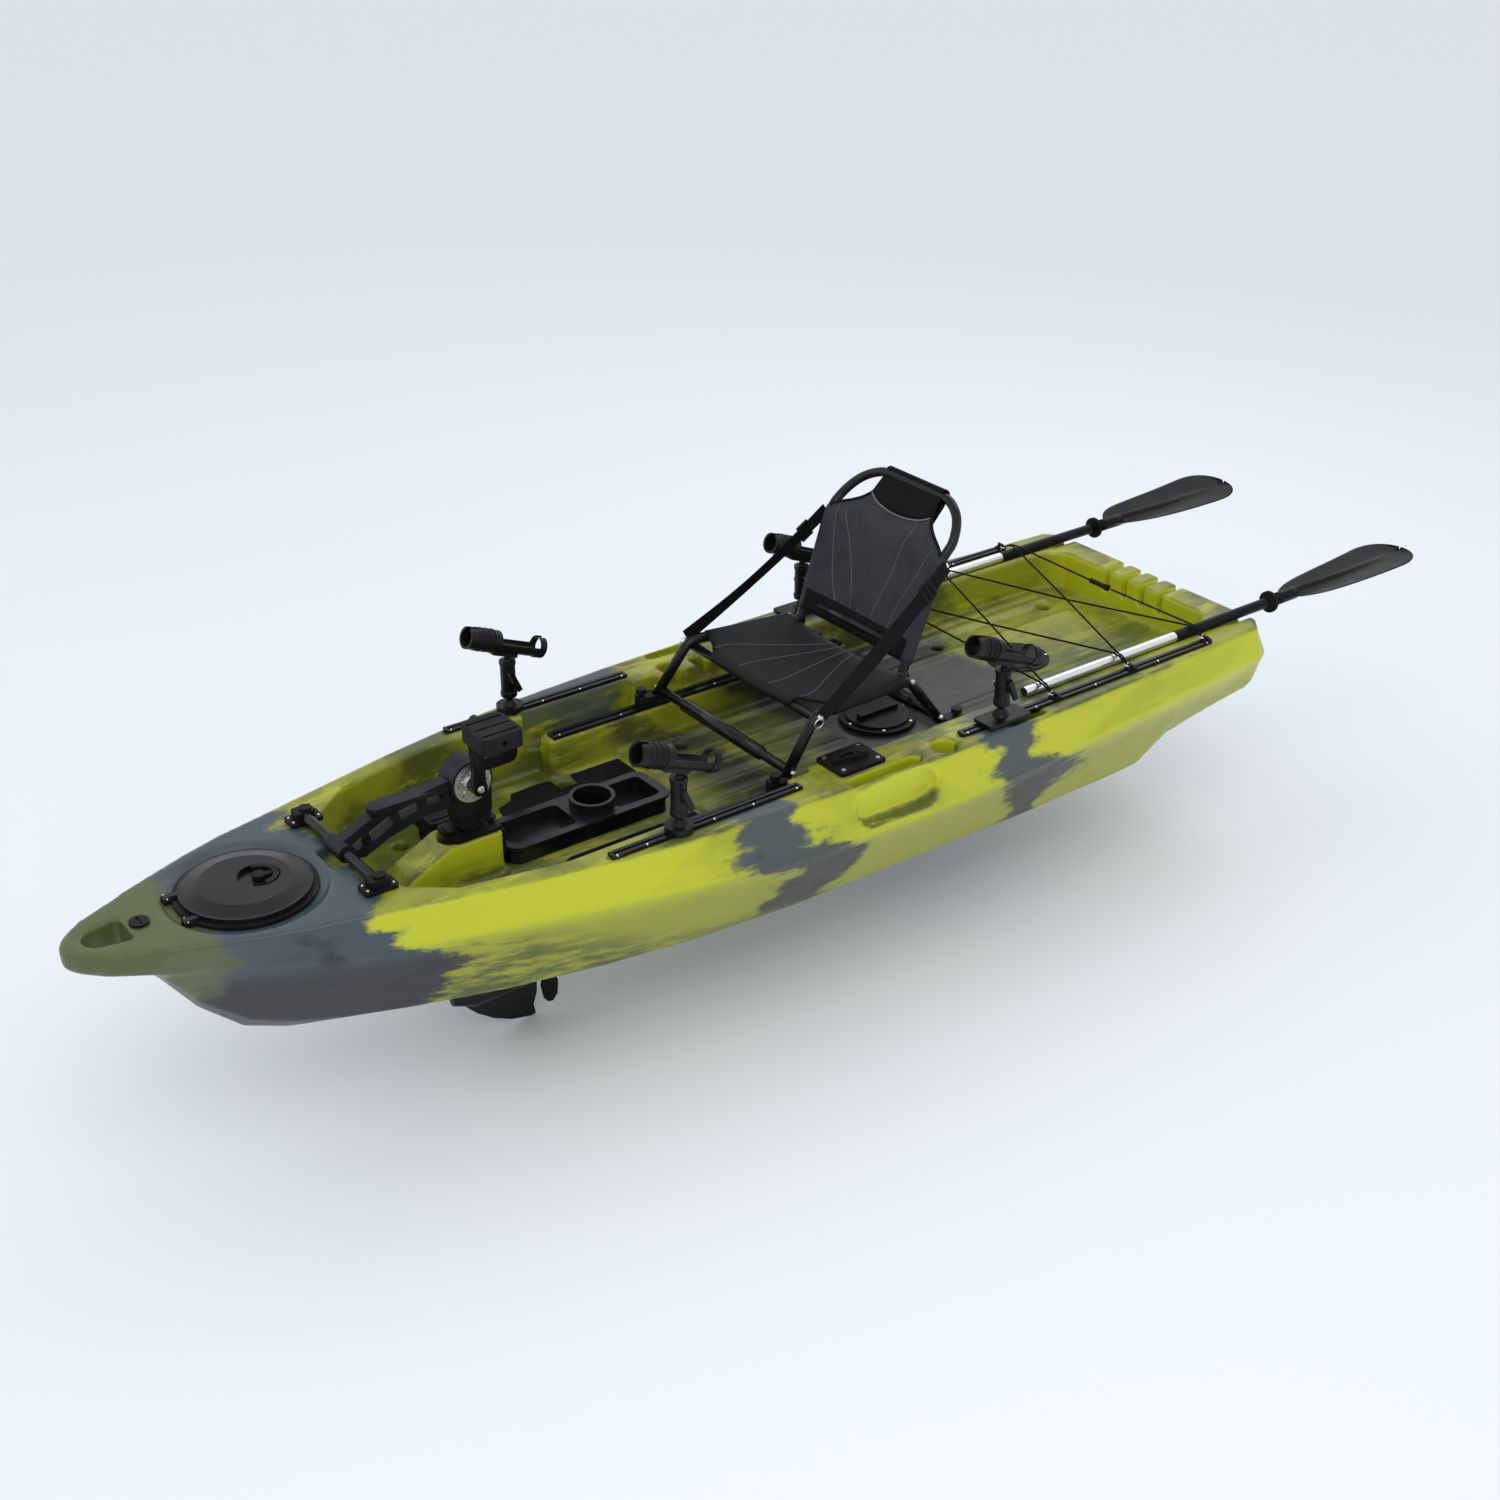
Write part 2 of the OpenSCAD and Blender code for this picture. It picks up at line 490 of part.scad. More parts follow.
module seat_panel() { color([0.1, 0.1, 0.11]) translate([0, 0, 437]) linear_extrude(5)
  polygon([[-152, 200], [-190, 227], [-370, 207], [-405, 186], [-420, 186], [-420, -186], [-405, -186],
    [-370, -207], [-190, -227],
    [-152, -200], [-128, -150], [-128, 150]]); }
module seat_straps() { color([0.03, 0.03, 0.03]) both() {
  polyhedron(
    points = [for (p = [[-150, 262, 452], [-545, 226, 702]], d = [[0, 0, 0], [0, 3, 0], [18, 3, 28], [18, 0, 28]]) p + d],
    faces = [[0, 3, 2, 1], [4, 5, 6, 7], [0, 1, 5, 4], [1, 2, 6, 5], [2, 3, 7, 6], [3, 0, 4, 7]]);
} }

// Seat back: bent hoop with a fabric panel, in its own plane s along the lean
function lean(s, y, n = 0) = s <= bend_s
  ? pivot + [-s * sin(back_lean) + n * cos(back_lean), y, s * cos(back_lean) + n * sin(back_lean)]
  : pivot + [-bend_s * sin(back_lean) - (s - bend_s) * sin(top_lean) + n * cos(top_lean), y,
      bend_s * cos(back_lean) + (s - bend_s) * cos(top_lean) + n * sin(top_lean)];
module back_frame() { color([0.04, 0.04, 0.04]) {
  for (s = [-1, 1]) rod(lean(0, s * 188), lean(0, s * 205.5), 15);
  chain(concat([for (q = [[0, 192], [bend_s, 203], [340, 200], [390, 174], [420, 134], [430, 90]]) lean(q[0], q[1])],
    [for (q = [[430, 90], [420, 134], [390, 174], [340, 200], [bend_s, 203], [0, 192]]) lean(q[0], -q[1])]), tube_r - 1);
  rod(lean(60, -193), lean(60, 193), tube_r - 2.5);
} }
module back_panel() { color([0.09, 0.09, 0.1]) {
  translate(pivot) rotate([0, -back_lean, 0]) translate([16, 0, 0]) rotate([90, 0, 90]) linear_extrude(5)
    polygon([[-130, 34], [130, 34], [178, 90], [190, 270], [188, 292], [-188, 292], [-190, 270], [-178, 90]]);
  translate(lean(bend_s + 0.01, 0)) rotate([0, -top_lean, 0]) translate([17, 0, 0]) rotate([90, 0, 90])
    linear_extrude(5) polygon([[-186, 2], [186, 2], [140, 30], [110, 90], [96, 158], [-96, 158], [-110, 90], [-140, 30]]);
} }

// Rod holder: track base with ball, socket arm, open-topped tube
module rod_base(i) { translate([rods[i][0], rods[i][1] * (i < 2 ? front_y : rear_y), 0]) {
  t = deck_z + track_up + 0.4;
  if (i < 2) { translate([0, 0, t]) cylinder(r = 32, h = 13); }
  else translate([0, rods[i][1] * 6, t]) rounded(130, 62, 6, 9);
  translate([0, 0, t - 5.2]) box(-14, 14, -3, 3, 0, 6);
  translate([0, 0, t + 8]) cylinder(r1 = 22, r2 = 9, h = 18);
  translate([0, 0, t + 12]) cylinder(r = 7, h = ball_z - t - 16);
  translate([0, 0, ball_z]) sphere(ball_r);
} }
module rod_arm(i) { translate([rods[i][0], rods[i][1] * (i < 2 ? front_y : rear_y), ball_z]) {
  difference() {
    union() {
      cylinder(r = 18, h = arm_len);
      for (z = [0, arm_len]) translate([0, 0, z]) sphere(20);
      rod([0, -21, arm_len / 2], [0, 21, arm_len / 2], 9);
    }
    for (z = [0, arm_len]) translate([0, 0, z]) sphere(ball_r + 0.3);
    translate([0, 0, -30]) cylinder(r = 30, h = 23);
    translate([0, 0, arm_len + 5]) cylinder(r = 30, h = 30);
    for (a = [-34:17:34]) translate([0, 0, arm_len]) rotate([0, a, 0]) cylinder(r = 7.4, h = 40);
  }
  rod([0, 18, arm_len / 2], [0, 34, arm_len / 2], 7);
  translate([0, 35, arm_len / 2]) rotate([0, 24, 0]) box(-6, 6, -4, 5, -24, 34);
} }
module rod_tube(i) { translate([rods[i][0], rods[i][1] * (i < 2 ? front_y : rear_y), ball_z + arm_len]) {
  sphere(ball_r);
  cylinder(r = 6.5, h = 26);
  translate([0, 0, 50]) rotate([0, -tube_tilt, 0]) difference() {
    union() {
      rod([-92, 0, 0], [112, 0, 0], tube_out - 2);
      rod([24, 0, 0], [112, 0, 0], tube_out);
      rod([-100, 0, 0], [-80, 0, 0], tube_out);
      translate([0, 0, -22]) box(-34, 34, -12, 12, -9, 6);
    }
    rod([-110, 0, 0], [26.5, 0, 0], tube_bore + 0.8);
    rod([26, 0, 0], [130, 0, 0], tube_bore);
    box(-84, 26, -40, 40, 2, 50);
    box(-110, -70, -8, 8, 0, 50);
    box(92, 130, -8, 8, 0, 50);
  }
} }
module base_fp() { color([0.05, 0.05, 0.05]) rod_base(0); }
module arm_fp() { color([0.07, 0.07, 0.07]) rod_arm(0); }
module tube_fp() { color([0.06, 0.06, 0.06]) rod_tube(0); }
module base_fs() { color([0.05, 0.05, 0.05]) rod_base(1); }
module arm_fs() { color([0.07, 0.07, 0.07]) rod_arm(1); }
module tube_fs() { color([0.06, 0.06, 0.06]) rod_tube(1); }
module base_rp() { color([0.05, 0.05, 0.05]) rod_base(2); }
module arm_rp() { color([0.07, 0.07, 0.07]) rod_arm(2); }
module tube_rp() { color([0.06, 0.06, 0.06]) rod_tube(2); }
module base_rs() { color([0.05, 0.05, 0.05]) rod_base(3); }
module arm_rs() { color([0.07, 0.07, 0.07]) rod_arm(3); }
module tube_rs() { color([0.06, 0.06, 0.06]) rod_tube(3); }

// Paddle halves lying in the gunwale grooves
module paddle_shafts() { color([0.05, 0.05, 0.05]) both() difference() {
  rod([-1690, paddle_y, paddle_z], [-1250, paddle_y, paddle_z], shaft_r);
  rod([-1270, paddle_y, paddle_z], [-1249, paddle_y, paddle_z], shaft_r - 2);
} }
module paddle_sleeves() { color([0.8, 0.8, 0.82]) both() difference() {
  union() {
    rod([-1249.9, paddle_y, paddle_z], [-724, paddle_y, paddle_z], shaft_r - 0.5);
    rod([-1269.9, paddle_y, paddle_z], [-1249, paddle_y, paddle_z], shaft_r - 2.05);
  }
  rod([-1280, paddle_y, paddle_z], [-700, paddle_y, paddle_z], shaft_r - 3.5);
} }
module paddle_blades() { color([0.04, 0.04, 0.04]) both() translate([0, paddle_y, paddle_z]) {
  difference() {
    union() {
      rotate([10, 0, 0]) translate([0, 0, -2.5]) linear_extrude(5) polygon([[-1700, 14], [-1740, 34],
        [-1800, 66], [-1880, 84], [-1980, 90], [-2080, 84], [-2130, 66], [-2160, 30], [-2168, -10],
        [-2150, -50], [-2110, -76], [-2040, -90], [-1940, -90], [-1860, -76], [-1780, -46], [-1720, -18]]);
      rod([-1780, 0, 0], [-1640, 0, 0], 17);
    }
    rod([-1690, 0, 0], [-1630, 0, 0], shaft_r + 0.02);
  }
} }
module drip_rings() { color([0.03, 0.03, 0.03]) both() difference() {
  union() {
    rod([-1630, paddle_y, paddle_z], [-1606, paddle_y, paddle_z], 19);
    rod([-1622, paddle_y, paddle_z], [-1614, paddle_y, paddle_z], 29);
  }
  rod([-1640, paddle_y, paddle_z], [-1600, paddle_y, paddle_z], shaft_r + 0.02);
} }

hull();
bow_plug();
front_tracks();
rear_tracks();
seat_rails();
foot_pads();
pad_eyes();
eye_rings();
bungee();
cord_lock();
deck_plate();
deck_screws();
hatch_rim();
bow_hatch_rim();
control_plate();
bar_brackets();
drive_collar();
collar_clamps();
console_tray();
console_clip();
bow_lid();
lid_latch();
round_lid();
cross_bar();
drive_arm();
drive_housing();
hub_discs();
drive_leg();
gear_case();
crank_arms();
pedal_port();
strap_port();
pedal_starboard();
strap_starboard();
propeller();
control_lever();
seat_frame();
seat_clamps();
seat_knobs();
seat_panel();
seat_straps();
back_frame();
back_panel();
base_fp();
arm_fp();
tube_fp();
base_fs();
arm_fs();
tube_fs();
base_rp();
arm_rp();
tube_rp();
base_rs();
arm_rs();
tube_rs();
paddle_shafts();
paddle_sleeves();
paddle_blades();
drip_rings();
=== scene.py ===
"""Pedal-drive fishing kayak: the visual model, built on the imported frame.

Everything is in metres: +X to the bow, +Y to port, +Z up, with the origin at the
flat of the hull's bottom, amidships.
"""
import json
import logging
import math
from dataclasses import dataclass
from enum import Enum
from typing import Callable, Iterable, Sequence

import bmesh
import bpy
from mathutils import Matrix, Vector

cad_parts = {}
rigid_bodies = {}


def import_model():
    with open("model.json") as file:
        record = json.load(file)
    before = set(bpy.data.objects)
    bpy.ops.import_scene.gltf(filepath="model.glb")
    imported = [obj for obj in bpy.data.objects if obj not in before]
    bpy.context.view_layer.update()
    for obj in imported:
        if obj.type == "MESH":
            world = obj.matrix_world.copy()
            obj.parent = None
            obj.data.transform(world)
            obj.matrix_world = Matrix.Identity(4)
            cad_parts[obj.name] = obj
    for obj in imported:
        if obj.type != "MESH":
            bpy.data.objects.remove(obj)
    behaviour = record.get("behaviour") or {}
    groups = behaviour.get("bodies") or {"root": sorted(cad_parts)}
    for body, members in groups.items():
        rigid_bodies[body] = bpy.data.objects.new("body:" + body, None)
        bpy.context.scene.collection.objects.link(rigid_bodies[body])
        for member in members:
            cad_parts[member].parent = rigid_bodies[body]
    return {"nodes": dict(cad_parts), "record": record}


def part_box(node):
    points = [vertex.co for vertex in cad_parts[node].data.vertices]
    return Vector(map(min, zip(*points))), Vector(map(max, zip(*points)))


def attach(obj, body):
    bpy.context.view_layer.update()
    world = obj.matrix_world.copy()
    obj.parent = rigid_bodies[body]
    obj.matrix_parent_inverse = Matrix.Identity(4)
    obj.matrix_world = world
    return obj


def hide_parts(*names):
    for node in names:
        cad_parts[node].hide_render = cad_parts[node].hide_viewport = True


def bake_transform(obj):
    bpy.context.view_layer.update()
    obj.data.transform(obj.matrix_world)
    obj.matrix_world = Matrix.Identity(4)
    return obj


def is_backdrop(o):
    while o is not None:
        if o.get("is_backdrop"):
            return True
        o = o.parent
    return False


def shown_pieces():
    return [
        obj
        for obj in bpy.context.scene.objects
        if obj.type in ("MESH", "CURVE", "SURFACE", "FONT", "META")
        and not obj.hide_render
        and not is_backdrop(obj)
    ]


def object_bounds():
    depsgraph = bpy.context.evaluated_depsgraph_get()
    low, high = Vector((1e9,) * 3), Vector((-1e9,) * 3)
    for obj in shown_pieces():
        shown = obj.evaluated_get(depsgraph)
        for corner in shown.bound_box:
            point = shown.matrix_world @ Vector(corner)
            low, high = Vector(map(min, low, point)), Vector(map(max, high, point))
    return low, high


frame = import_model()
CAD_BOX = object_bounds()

LOG = logging.getLogger("kayak")
Point = tuple[float, float, float]
Colour = tuple[float, float, float]
DECK_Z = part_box("hull")[1].z
CRANK = Vector((0.626, 0.0, 0.425))
HINGE = Vector((-0.440, 0.0, 0.430))


# ---------------------------------------------------------------- materials
class Grain(Enum):
    """The surface texture a finish carries."""

    MOULDED = "moulded"
    SATIN = "satin"
    BRUSHED = "brushed"
    FOAM = "foam"
    RUBBER = "rubber"


class NodeTree:
    """A short way to write a node tree."""

    tree: bpy.types.NodeTree

    def add(self, kind: str, inputs: dict | None = None, **settings: object) -> bpy.types.Node:
        """Add a node.

        Args:
            kind: the node's type name.
            inputs: socket name or index to a value or to another node's output.
            **settings: the node's own properties.

        Returns:
            The new node.
        """
        node = self.tree.nodes.new(kind)
        for key, value in settings.items():
            setattr(node, key, value)
        for key, value in (inputs or {}).items():
            self.put(node.inputs[key], value)
        return node

    def put(self, socket: bpy.types.NodeSocket, value: object) -> None:
        """Set or link one socket.

        Args:
            socket: the socket to fill.
            value: a number, a colour or an output socket.
        """
        if isinstance(value, bpy.types.NodeSocket):
            self.tree.links.new(value, socket)
        elif isinstance(value, (tuple, list)) and len(value) == 3 and socket.type == "RGBA":
            socket.default_value = (*value, 1.0)
        else:
            socket.default_value = value

    def math(self, operation: str, a: object, b: object = 0.0) -> bpy.types.NodeSocket:
        """Combine two values.

        Args:
            operation: the Math node's operation.
            a: the first value or socket.
            b: the second value or socket.

        Returns:
            The result's socket.
        """
        return self.add("ShaderNodeMath", {0: a, 1: b}, operation=operation).outputs[0]

    def times(self, a: object, b: object) -> bpy.types.NodeSocket:
        """Multiply two values.

        Args:
            a: the first value or socket.
            b: the second value or socket.

        Returns:
            The product's socket.
        """
        return self.math("MULTIPLY", a, b)


class Graph(NodeTree):
    """A material's node tree, with its shader."""

    def __init__(self, name: str) -> None:
        """Start an empty material.

        Args:
            name: the material's name.
        """
        self.material = bpy.data.materials.new(name)
        self.material.use_nodes = True
        self.tree = self.material.node_tree
        self.tree.nodes.clear()
        self.shader = self.add("ShaderNodeBsdfPrincipled")
        self.add("ShaderNodeOutputMaterial", {0: self.shader.outputs[0]})

    def plus(self, a: object, b: object) -> bpy.types.NodeSocket:
        """Add two values.

        Args:
            a: the first value or socket.
            b: the second value or socket.

        Returns:
            The sum's socket.
        """
        return self.math("ADD", a, b)

    def outside(self, share: object) -> bpy.types.NodeSocket:
        """What a share leaves of 1.

        Args:
            share: the share's socket.

        Returns:
            1 less the share.
        """
        return self.math("SUBTRACT", 1.0, share)

    def within(self, value: object, low: float, high: float,
               share: tuple[float, float]) -> bpy.types.NodeSocket:
        """Map a value to a range of shares.

        Args:
            value: the value or socket mapped.
            low: the value that gives the range's start.
            high: the value that gives its end.
            share: the range's start and end.

        Returns:
            The mapped value's socket.
        """
        return self.add("ShaderNodeMapRange",
                        {0: value, 1: low, 2: high, 3: share[0], 4: share[1]}).outputs[0]

    def step(self, value: object, low: float, high: float) -> bpy.types.NodeSocket:
        """A soft step from 0 at low to 1 at high.

        Args:
            value: the value or socket tested.
            low: where the step starts.
            high: where it is complete.

        Returns:
            The step's socket.
        """
        return self.add("ShaderNodeMapRange", {0: value, 1: low, 2: high},
                        interpolation_type="SMOOTHSTEP").outputs[0]

    def mix(self, factor: object, a: object, b: object) -> bpy.types.NodeSocket:
        """Blend two colours.

        Args:
            factor: 0 gives a, 1 gives b.
            a: the first colour or socket.
            b: the second colour or socket.

        Returns:
            The blended colour's socket.
        """
        return self.add("ShaderNodeMix", {0: factor, 6: a, 7: b}, data_type="RGBA").outputs[2]

    def place(self, scale: Point = (1, 1, 1), uv: bool = False) -> bpy.types.NodeSocket:
        """Texture coordinates.

        Args:
            scale: how much each axis is scaled.
            uv: whether to read the UV map in place of Object coordinates.

        Returns:
            The coordinate socket.
        """
        where = self.add("ShaderNodeTexCoord").outputs["UV" if uv else "Object"]
        return self.add("ShaderNodeMapping", {0: where, 3: scale}).outputs[0]

    def noise(self, where: object, scale: float, detail: float = 4.0,
              roughness: float = 0.55) -> bpy.types.NodeSocket:
        """A noise value from 0 to 1.

        Args:
            where: the coordinate socket.
            scale: the noise's scale.
            detail: its octaves.
            roughness: how strong the fine octaves are.

        Returns:
            The noise's socket.
        """
        return self.add("ShaderNodeTexNoise", {"Vector": where, "Scale": scale, "Detail": detail,
                                               "Roughness": roughness}).outputs[0]

    def bump(self, height: object, strength: float, distance: float) -> None:
        """Give the shader a bump.

        Args:
            height: the height socket.
            strength: 0 to 1.
            distance: the height's size in metres.
        """
        node = self.add("ShaderNodeBump", {"Strength": strength, "Distance": distance, "Height": height})
        self.tree.links.new(node.outputs[0], self.shader.inputs["Normal"])


@dataclass(frozen=True)
class Finish:
    """A plain finish: one colour with grain, scuffs and bump."""

    name: str
    colour: Colour
    roughness: float
    metallic: float = 0.0
    grain: Grain = Grain.MOULDED
    spread: float = 0.25
    sheen: float = 0.13
    wear: float = 0.09

    def build(self) -> bpy.types.Material:
        """Make the material.

        Returns:
            The finished material.
        """
        g = Graph(self.name)
        where = g.place()
        scale, detail, depth = {Grain.MOULDED: (900, 3, 0.00025), Grain.SATIN: (260, 2, 0.00006),
                                Grain.BRUSHED: (420, 5, 0.00004), Grain.FOAM: (1500, 4, 0.0005),
                                Grain.RUBBER: (700, 2, 0.00015)}[self.grain]
        stretched = g.place((0.06, 1, 1)) if self.grain is Grain.BRUSHED else where
        fine = g.noise(stretched, scale, detail)
        broad = g.noise(where, 9.0, 5.0, 0.6)
        dark = tuple(c * (1 - self.spread) for c in self.colour)
        light = tuple(min(1.0, c * (1 + self.spread) + 0.004) for c in self.colour)
        g.put(g.shader.inputs["Base Color"], g.mix(g.step(broad, 0.3, 0.7), dark, light))
        smooth = max(0.05, self.roughness - self.wear)
        rough = g.within(g.noise(where, 34.0, 5.0, 0.65), 0.3, 0.7, (smooth, self.roughness + self.wear))
        g.put(g.shader.inputs["Roughness"], rough)
        g.shader.inputs["Metallic"].default_value = self.metallic
        g.shader.inputs["Specular IOR Level"].default_value = self.sheen
        g.bump(fine, 0.5, depth)
        return g.material


@dataclass(frozen=True)
class Woven:
    """Cloth with a weave that follows the piece's UV map, in metres."""

    name: str
    colour: Colour
    light: Colour
    pitch: float
    holes: float = 0.0
    roughness: float = 0.8
    behind: Colour = (0.004, 0.004, 0.005)
    sheen: float = 0.12

    def build(self) -> bpy.types.Material:
        """Make the material.

        Returns:
            The finished material.
        """
        g = Graph(self.name)
        where = g.add("ShaderNodeSeparateXYZ", {0: g.place(uv=True)})
        turn = 2 * math.pi / self.pitch
        u = g.math("SINE", g.times(where.outputs[0], turn))
        v = g.math("SINE", g.times(where.outputs[1], turn))
        weave = g.times(u, v)
        height = g.plus(g.times(weave, 0.5), 0.5)
        blotch = g.noise(g.place(), 14.0, 4.0)
        thread = g.mix(g.step(height, 0.25, 0.8), self.colour, self.light)
        aged = g.mix(g.times(g.step(blotch, 0.45, 0.75), 0.4), thread, self.colour)
        if self.holes:
            pits = g.step(g.math("ABSOLUTE", weave), 0.62, 0.86)
            aged = g.mix(g.times(pits, self.holes), aged, self.behind)
        g.put(g.shader.inputs["Base Color"], aged)
        g.put(g.shader.inputs["Roughness"],
              g.within(height, 0.0, 1.0, (self.roughness - 0.1, self.roughness + 0.08)))
        g.shader.inputs["Specular IOR Level"].default_value = self.sheen
        g.bump(height, 0.7, self.pitch * 0.2)
        return g.material


@dataclass(frozen=True)
class Camouflage:
    """Three-colour rotomoulded plastic whose colours run into each other along the hull."""

    yellow: Colour = (0.52, 0.545, 0.014)
    ochre: Colour = (0.285, 0.300, 0.016)
    olive: Colour = (0.088, 0.104, 0.016)
    tip: Colour = (0.088, 0.108, 0.032)
    # painted sheen: the lighter, bluer tone the charcoal patches take above the knuckle
    sheen_slate: Colour = (0.052, 0.070, 0.086)
    charcoal: Colour = (0.022, 0.022, 0.025)
    ragged: float = 0.30
    sheen: float = 0.45
    stern: tuple[float, float] = (-1.46, -1.36)
    bow: tuple[float, float] = (0.905, 0.955)
    nose: tuple[float, float] = (1.24, 1.30)
    dark_bands: tuple[tuple[float, float], ...] = ((0.03, 0.27), (-0.70, -0.50))
    well_charcoal_span: tuple[float, float] = (-0.86, -0.26)
    hump_shade: tuple[float, float] = (-0.02, 0.10)

    def patch(self, g: Graph, x: object, ends: tuple[float, float], soft: float) -> bpy.types.NodeSocket:
        """A band of colour across the hull.

        Args:
            g: the graph it goes in.
            x: the ragged position along the hull.
            ends: where the band starts and ends.
            soft: the width of each feathered border.

        Returns:
            1 inside the band, 0 outside.
        """
        rise = g.step(x, ends[0] - soft, ends[0] + soft)
        fall = g.step(x, ends[1] - soft, ends[1] + soft)
        return g.times(rise, g.outside(fall))

    def build(self) -> bpy.types.Material:
        """Make the material.

        Returns:
            The finished material.
        """
        g = Graph("rotomoulded_camouflage")
        where = g.add("ShaderNodeSeparateXYZ", {0: g.place()})
        x, y, z = where.outputs
        facing = g.add("ShaderNodeSeparateXYZ", {0: g.add("ShaderNodeNewGeometry").outputs["Normal"]})
        up = facing.outputs[2]
        off_centre = g.math("ABSOLUTE", y)
        outward = g.step(g.times(facing.outputs[1], g.math("SIGN", y)), -0.12, 0.12)
        streak = g.noise(g.place((1.6, 7.0, 9.0)), 2.2, 9.0, 0.68)
        cloud = g.noise(g.place((1.0, 1.0, 1.4)), 3.1, 7.0, 0.62)
        wander = g.plus(g.times(g.math("SUBTRACT", streak, 0.5), self.ragged),
                        g.times(g.math("SUBTRACT", cloud, 0.5), self.ragged * 1.7))
        low = g.outside(g.step(z, 0.18, 0.27))
        ragged = g.plus(g.plus(x, wander), g.times(low, 0.13))
        middle = g.outside(g.step(off_centre, 0.28, 0.36))
        # bright yellow on the outside walls with ochre below the knuckle, ochre and olive within
        walls = g.mix(g.times(low, 0.80), self.yellow, self.ochre)
        walls = g.mix(g.times(g.step(cloud, 0.54, 0.70), 0.5), walls, self.ochre)
        inside = g.mix(g.step(cloud, 0.44, 0.60), self.ochre, self.olive)
        inside = g.mix(g.times(g.step(streak, 0.56, 0.66), 0.6), inside, self.yellow)
        walls = g.mix(g.math("MAXIMUM", outward, g.outside(g.step(x, *self.stern))), inside, walls)
        decks = g.mix(g.step(cloud, 0.40, 0.58), self.ochre, self.olive)
        decks = g.mix(g.times(g.step(streak, 0.52, 0.64), 0.55), decks, self.yellow)
        colour = g.mix(g.outside(g.step(up, 0.25, 0.75)), decks, walls)
        floor = g.times(g.outside(g.step(z, 0.20, 0.26)), middle)
        colour = g.mix(g.times(floor, g.step(streak, 0.42, 0.56)), colour, self.olive)
        # charcoal on the well floor behind and under the seat, and painted shade beside the drive's hump
        well_charcoal = g.times(self.patch(g, ragged, self.well_charcoal_span, 0.05),
                        g.outside(g.step(off_centre, 0.24, 0.33)))
        colour = g.mix(g.times(well_charcoal, 0.93), colour, self.charcoal)
        shade = g.times(self.patch(g, ragged, self.hump_shade, 0.04), middle)
        colour = g.mix(g.times(shade, 0.75), colour, self.charcoal)
        # charcoal bands over the rails and the bow, drawn in slate above the knuckle as a painted sheen and
        # in plain charcoal below it
        dark = g.mix(g.math("MAXIMUM", low, g.step(cloud, 0.60, 0.72)), self.sheen_slate, self.charcoal)
        for ends in self.dark_bands:
            band = g.times(self.patch(g, ragged, ends, 0.030), g.step(off_centre, 0.30, 0.345))
            colour = g.mix(g.times(band, 0.96), colour, dark)
        colour = g.mix(g.step(ragged, *self.bow), colour, dark)
        colour = g.mix(g.step(g.plus(x, g.times(wander, 0.5)), *self.nose), colour, self.tip)
        g.put(g.shader.inputs["Base Color"], colour)
        g.put(g.shader.inputs["Roughness"],
              g.within(g.noise(g.place(), 22.0, 6.0, 0.6), 0.3, 0.7, (0.27, 0.43)))
        g.shader.inputs["Specular IOR Level"].default_value = self.sheen
        peel = g.plus(g.noise(g.place(), 320.0, 3.0), g.times(g.noise(g.place(), 26.0, 3.0), 2.5))
        g.bump(peel, 0.35, 0.0006)
        return g.material


